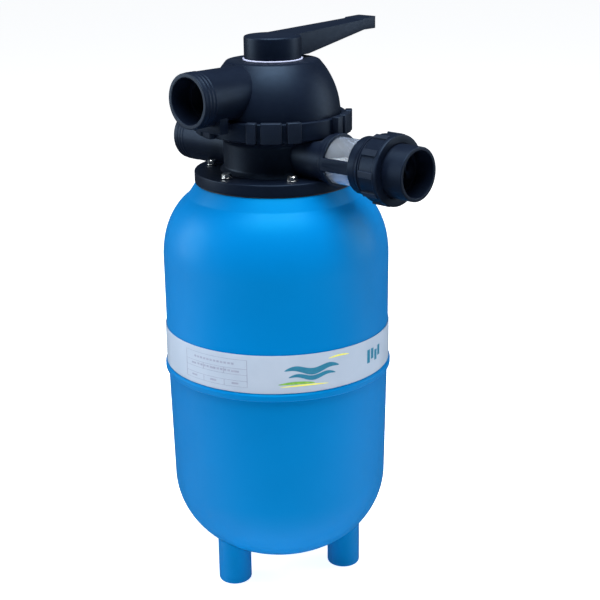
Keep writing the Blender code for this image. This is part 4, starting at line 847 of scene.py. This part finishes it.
def make_union():
    flange_end = TAIL_START + TAIL_FLANGE_LENGTH
    socket = UNION_REACH - SOCKET_DEPTH + 0.002
    outline = rounded([
        (SOCKET_RADIUS, UNION_REACH, 0.0005), (TAIL_RADIUS, UNION_REACH, 0.0010),
        (TAIL_RADIUS, flange_end, 0.0006),
        (TAIL_FLANGE_RADIUS, flange_end, 0.0006), (TAIL_FLANGE_RADIUS, TAIL_START, 0.0006),
        (PIPE_BORE, TAIL_START, 0.0006), (PIPE_BORE, socket, 0.0004), (SOCKET_RADIUS, socket)], points=5)
    piece(lathe("union_spigot", outline, UNION, PIPE_STEPS), "tail", VALVE_BLACK, "valve_black", "union_tail")
    lip = NUT_REACH - NUT_LIP
    bore = CAGE_THREAD_RADIUS + CAGE_THREAD_PROUD + 0.0006
    waist = bore + 0.0024
    mouth = TAIL_RADIUS + 0.0006
    outline = rounded([
        (mouth, NUT_REACH, 0.0006), (NUT_RADIUS, NUT_REACH, 0.0016), (NUT_RADIUS, lip, 0.0012),
        (waist, lip - 0.0012, 0.0010), (waist, NUT_START, 0.0010), (bore, NUT_START, 0.0006),
        (bore, lip), (mouth, lip)], points=5)
    nut = lathe("union_ring", outline, UNION, VALVE_STEPS)
    for i in range(NUT_RIB_COUNT):
        turn = UNION @ Matrix.Rotation(math.radians(360 * (i + 0.5) / NUT_RIB_COUNT), 4, "Z")
        section = rounded([(bore + 0.001, -0.0046), (waist + 0.0022, -0.0036, 0.0009),
                           (waist + 0.0022, 0.0036, 0.0009), (bore + 0.001, 0.0046)])
        fuse(nut, prism("rib", section, NUT_START + 0.0008, lip + 0.001, turn))
    piece(nut, "nut", VALVE_BLACK, "valve_black", "union_nut")


# ---------------------------------------------------------------- cover and ring nut
def dome_side(inset, points=36):
    """The dome's side from its top edge down to its base, a single arc upright at the base."""
    radius = DOME_RADIUS - inset
    height = DOME_TOP - COVER_FLANGE_TOP - inset
    drop = DOME_RADIUS - DOME_TOP_RADIUS
    arc = (height * height + drop * drop) / (2 * drop)
    sweep = math.asin(height / arc)
    outline = []
    for i in range(points):
        angle = sweep * (1 - i / (points - 1))
        outline.append((radius - arc + arc * math.cos(angle), COVER_FLANGE_TOP + arc * math.sin(angle)))
    return outline


def make_cover():
    flange = RING_BORE - 0.0005
    side = dome_side(0)
    spigot_low = COVER_FLANGE_Z - 0.006
    outline = [(0, DOME_TOP)]
    outline += rounded([(0, DOME_TOP), (DOME_TOP_RADIUS + 0.0002, DOME_TOP, 0.0050), side[5]])[1:-1]
    outline += side[5:-1]
    outline += rounded([
        side[-2], (DOME_RADIUS, COVER_FLANGE_TOP), (flange, COVER_FLANGE_TOP, 0.0008),
        (flange, COVER_FLANGE_Z, 0.0005),
        (SPIGOT_OUTER, COVER_FLANGE_Z), (SPIGOT_OUTER, spigot_low, 0.0008), (0, spigot_low)])[1:]
    body = lathe("valve_dome", outline)
    root = 0.028
    port = lathe("port", port_outline(root, PUMP_REACH, PIPE_RADIUS), PUMP, PIPE_STEPS)
    cut(port, ring_space(SPIGOT_OUTER - 0.0037))
    brace = block("brace", (-0.024, -SWEEP_RADIUS - 0.0135, VALVE_Z + 0.0725),
                  (0.024, -SWEEP_RADIUS - 0.0001, PUMP_Z - 0.002))
    soften(brace, 0.0012)
    fuse(body, port, brace)
    ceiling = DOME_TOP - 0.005
    boss = ceiling - 0.0077
    mouth = SPIGOT_OUTER - 0.0037
    inner = [point for point in dome_side(COVER_WALL) if point[1] < ceiling - 0.002]
    cut(body, lathe("cavity", [
        (0, boss), (0.016, boss), (0.016, ceiling), (inner[0][0] - 0.002, ceiling)] + inner[:-1] + [
        (mouth, COVER_FLANGE_TOP), (mouth, spigot_low - OVERCUT), (0, spigot_low - OVERCUT)]))
    cut(body, rod("stem_hole", STEM_RADIUS + 0.0005, boss - OVERCUT, DOME_TOP + OVERCUT, steps=SMALL_STEPS))
    cut(body, socket_cutter("pump_socket", PUMP_REACH, PUMP_BORE, DOME_TOP_RADIUS - COVER_WALL, PUMP))
    piece(body, "cover", VALVE_BLACK, "valve_black", "valve_upper_body")


def make_ring_nut():
    lip_bore = DOME_RADIUS + 0.0005
    lip_low = RING_TOP - 0.0025
    outline = rounded([
        (lip_bore, RING_TOP, 0.0006), (RING_RADIUS, RING_TOP, 0.0014), (RING_RADIUS, RING_BOTTOM, 0.0010),
        (RING_BORE, RING_BOTTOM, 0.0005), (RING_BORE, lip_low), (lip_bore, lip_low)])
    ring = lathe("clamp_ring", outline, steps=TANK_STEPS)
    for group in range(5):
        for angle, width in ((-16.5, 0.0118), (-2, 0.0245), (14.7, 0.0168)):
            turn = UP @ Matrix.Rotation(math.radians(-45 + angle + 72 * group), 4, "Z")
            reach = math.sqrt(GRIP_RADIUS ** 2 - (width / 2) ** 2)
            grip = block("grip", (RING_BORE + 0.0013, -width / 2, RING_BOTTOM - 0.0004),
                         (reach, width / 2, RING_TOP + 0.0025), turn)
            fuse(ring, soften(grip, 0.0014))
    piece(ring, "ring", VALVE_BLACK, "valve_black", "ring_nut")


# ---------------------------------------------------------------- handle
def lever_plan(inset):
    """The lever from above: tapered, with round corners at its tip."""
    root, tip = LEVER_ROOT_WIDTH / 2 - inset, LEVER_TIP_WIDTH / 2 - inset
    reach = LEVER_REACH - inset
    return rounded([(root, 0), (tip, reach, 0.006), (-tip, reach, 0.006), (-root, 0)], points=8)


def lever_side(inset):
    """The lever from its side, as (distance along it, height above the pin)."""
    low = DRUM_BOTTOM - PIN_Z
    top = low + DRUM_HEIGHT
    tip_top = LEVER_TOP - PIN_Z
    tip_low = tip_top - LEVER_TIP_DEPTH
    knee = LEVER_REACH - TIP_BLOCK_LENGTH
    slope = (tip_top - 0.0012 - top) / LEVER_REACH
    if inset:
        end = LEVER_REACH - TIP_BLOCK_LENGTH - 0.004
        return [(DRUM_RADIUS + 0.004, low - OVERCUT), (end, low - OVERCUT),
                (end, tip_low + inset), (end, top + slope * end - inset),
                (DRUM_RADIUS + 0.004, top + slope * DRUM_RADIUS - inset)]
    return rounded([
        (0, low + 0.002), (LEVER_HEEL, low + 0.002, 0.002), (LEVER_KNEE, tip_low, 0.010),
        (LEVER_REACH, tip_low, 0.0035), (LEVER_REACH, tip_top, 0.0022),
        (knee, top + slope * knee + 0.0012, 0.0012), (knee - 0.0016, top + slope * knee, 0.0012), (0, top)])


def make_handle():
    low = DRUM_BOTTOM
    top = low + DRUM_HEIGHT
    outline = [(0, top + 0.0012)]
    outline += rounded([(0, top + 0.0012), (0.6 * DRUM_RADIUS, top + 0.0008, 0.010),
                        (DRUM_RADIUS, top - 0.0001, 0.0030),
                        (DRUM_RADIUS, low, 0.0008), (0, low)])[1:]
    handle = lathe("lever_handle", outline)
    pin_up = Matrix.Translation((AXIS_X, AXIS_Y, PIN_Z))
    side_on = pin_up @ Matrix.Rotation(math.pi / 2, 4, "Z") @ Matrix.Rotation(math.pi / 2, 4, "X")
    lever = prism("lever", lever_plan(0), -0.06, 0.06, pin_up)
    combine(lever, "INTERSECT", prism("side", lever_side(0), -0.05, 0.05, side_on))
    soften(lever, 0.0012, angle=50)
    fuse(handle, lever)
    pocket = prism("pocket", lever_plan(0.0032), -0.06, 0.06, pin_up)
    combine(pocket, "INTERSECT", prism("side", lever_side(0.0035), -0.05, 0.05, side_on))
    cut(pocket, block("rib", (-0.0013, 0, -0.06), (0.0013, LEVER_REACH, 0.06), pin_up))
    cut(handle, pocket)
    slot = [((STEM_RADIUS + 0.001) * math.cos(2 * math.pi * k / 48),
             (STEM_RADIUS + 0.004) * math.sin(2 * math.pi * k / 48)) for k in range(48)]
    cut(handle, prism("stem_slot", slot, low - OVERCUT - PIN_Z, 0.0095, pin_up))
    cut(handle, rod("cross_hole", PIN_RADIUS + GAP, -0.05, PIN_HALF_LENGTH + 0.0004, PIN, SMALL_STEPS))
    piece(handle, "lever", VALVE_BLACK, "valve_black", "handle")


def make_stem_parts():
    washer_low, washer_high = (corner.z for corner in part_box("handle_washer"))
    bore = STEM_RADIUS + 0.0005
    outline = rounded([(bore, washer_high), (HANDLE_WASHER_RADIUS, washer_high, 0.0005),
                       (HANDLE_WASHER_RADIUS, washer_low, 0.0005), (bore, washer_low)], points=4)
    piece(lathe("glide_washer", outline), "selector", PALE, "pale_plastic", "handle_washer")
    half = PIN_HALF_LENGTH
    outline = rounded([(0, half), (PIN_RADIUS, half, 0.0007), (PIN_RADIUS, -half, 0.0007), (0, -half)],
                      points=4)
    piece(lathe("cross_pin", outline, PIN, SMALL_STEPS), "rotor_and_stem", STEEL, "steel", "handle_pin")
    stem_low, stem_high = (corner.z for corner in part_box("stem"))
    outline = rounded([(0, stem_high), (STEM_RADIUS, stem_high, 0.001), (STEM_RADIUS, stem_low, 0.001),
                       (0, stem_low)], points=4)
    stem = lathe("valve_stem", outline, steps=SMALL_STEPS)
    cut(stem, rod("cross_hole", PIN_RADIUS + GAP, -0.02, 0.02, PIN, 32))
    piece(stem, "rotor_and_stem", VALVE_BLACK, "valve_black", "stem")


def make_spring():
    """The rotor's spring, drawn as a swept round wire with its end turns closed up."""
    wire, radius, turns, sides, steps = 0.0016, 0.0125, 6.0, 10, 32
    low, high = SPRING_LOW + wire, SPRING_HIGH - wire
    bm = bmesh.new()
    rings = []
    count = int(turns * steps)
    for i in range(count + 1):
        t = i / count
        closing = 0.5 - 0.5 * math.cos(math.pi * min(max((t * turns - 0.6) / (turns - 1.2), 0), 1))
        share = 0.5 * closing + 0.5 * min(max((t * turns - 0.6) / (turns - 1.2), 0), 1)
        angle = 2 * math.pi * turns * t
        outward = Vector((math.cos(angle), math.sin(angle), 0))
        centre = outward * radius + Vector((0, 0, low + (high - low) * share))
        rings.append([
            bm.verts.new(centre + wire * (outward * math.cos(a) + Vector((0, 0, math.sin(a)))))
            for a in (2 * math.pi * k / sides for k in range(sides))
        ])
    for first, second in zip(rings, rings[1:]):
        for k in range(sides):
            j = (k + 1) % sides
            bm.faces.new((first[k], first[j], second[j], second[k]))
    bm.faces.new(rings[0][::-1])
    bm.faces.new(rings[-1])
    spring = closed_object("return_spring", bm, UP)
    piece(spring, "selector", STEEL, "steel", "rotor_spring")
    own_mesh(spring)


def paint_inner_nodes():
    """Materials for the CAD nodes that stay: the filter bed, its pipework and the valve's inside."""
    white = ["standpipe", "lateral_hub", "top_diffuser"] + [f"lateral_{i}" for i in range(1, 7)]
    chosen = {name: WHITE_PIPE for name in white}
    chosen.update({"sand_bed": SAND, "spider_gasket": RUBBER, "cover_oring": RUBBER, "stem_oring": RUBBER,
                   "rotor": VALVE_BLACK, "spring_washer": STEEL})
    for name, material in chosen.items():
        mesh = frame["nodes"][name].data
        mesh.materials.clear()
        mesh.materials.append(material)


# ---------------------------------------------------------------- studio
def make_camera():
    """Stands at azimuth 45 degrees, looking down at the tank through a short telephoto lens."""
    distance, height, sideways = 1.5589, 0.8703, 0.0054
    pitch, yaw, roll = 0.3173, 0.0151, -0.0122
    forward = Vector((math.sin(yaw) * math.cos(pitch), math.cos(yaw) * math.cos(pitch), -math.sin(pitch)))
    right = Vector((math.cos(yaw), -math.sin(yaw), 0))
    upward = right.cross(forward)
    tilted_right = math.cos(roll) * right + math.sin(roll) * upward
    tilted_up = math.cos(roll) * upward - math.sin(roll) * right
    axes = Matrix((tilted_right, tilted_up, -forward)).transposed().to_4x4()
    data = bpy.data.cameras.new("camera")
    data.sensor_width = 36
    data.lens = 77.9
    camera = bpy.data.objects.new("camera", data)
    bpy.context.scene.collection.objects.link(camera)
    turned = UP @ Matrix.Rotation(math.radians(45), 4, "Z")
    camera.matrix_world = turned @ Matrix.Translation((sideways, -distance, height)) @ axes
    bpy.context.scene.camera = camera


def area_light(name, azimuth, distance, height, size, power, tint, aim, spread=180):
    """A soft box at an azimuth about the tank, aimed at a height on its axis."""
    data = bpy.data.lights.new(name, "AREA")
    data.shape = "RECTANGLE"
    data.size, data.size_y = size
    data.energy = power
    data.color = tint
    data.spread = math.radians(spread)
    light = bpy.data.objects.new(name, data)
    angle = math.radians(azimuth)
    spot = Vector((AXIS_X + distance * math.sin(angle), AXIS_Y - distance * math.cos(angle), height))
    light.location = spot
    aim_at = Vector((AXIS_X, AXIS_Y, aim))
    light.rotation_euler = (spot - aim_at).to_track_quat("Z", "Y").to_euler()
    bpy.context.scene.collection.objects.link(light)


def make_studio():
    world = bpy.data.worlds.new("studio")
    bpy.context.scene.world = world
    world.use_nodes = True
    background = world.node_tree.nodes["Background"]
    background.inputs["Color"].default_value = colour(0.60, 0.78, 1.0)
    background.inputs["Strength"].default_value = 0.08
    area_light("overhead", 45, 0.42, 2.1, (1.5, 1.2), 82, (0.96, 0.98, 1.0), aim=0.5)
    for side, power in ((-50, 15), (140, 10)):
        area_light("side_box", side, 1.7, 0.85, (1.0, 1.1), power, (0.88, 0.95, 1.0), aim=0.25, spread=150)
    n = Nodes("pale_floor")
    speckle = n.noise(8.0)
    base = n.mix(n.spread(speckle, 0.0, 1.0), colour(0.93, 0.93, 0.93), colour(0.95, 0.95, 0.95))
    n.surface(base_color=base, roughness=n.spread(speckle, 0.7, 0.8))
    n.shader.inputs["Emission Color"].default_value = colour(1.0, 1.0, 1.0)
    n.shader.inputs["Emission Strength"].default_value = 0.90
    bm = bmesh.new()
    bmesh.ops.create_grid(bm, x_segments=8, y_segments=8, size=30)
    floor = closed_object("floor", bm, Matrix.Translation((0, 0, -0.0002)))
    floor.data.materials.append(n.material)
    floor.visible_glossy = False
    bpy.context.scene.view_settings.view_transform = "Standard"


make_camera()
make_upper_shell()
make_lower_shell()
make_legs()
make_label()
make_lower_body()
make_neck_gasket()
make_bolts()
make_sight_glass()
make_cage()
make_union()
make_cover()
make_ring_nut()
make_handle()
make_stem_parts()
make_spring()
paint_inner_nodes()
make_studio()
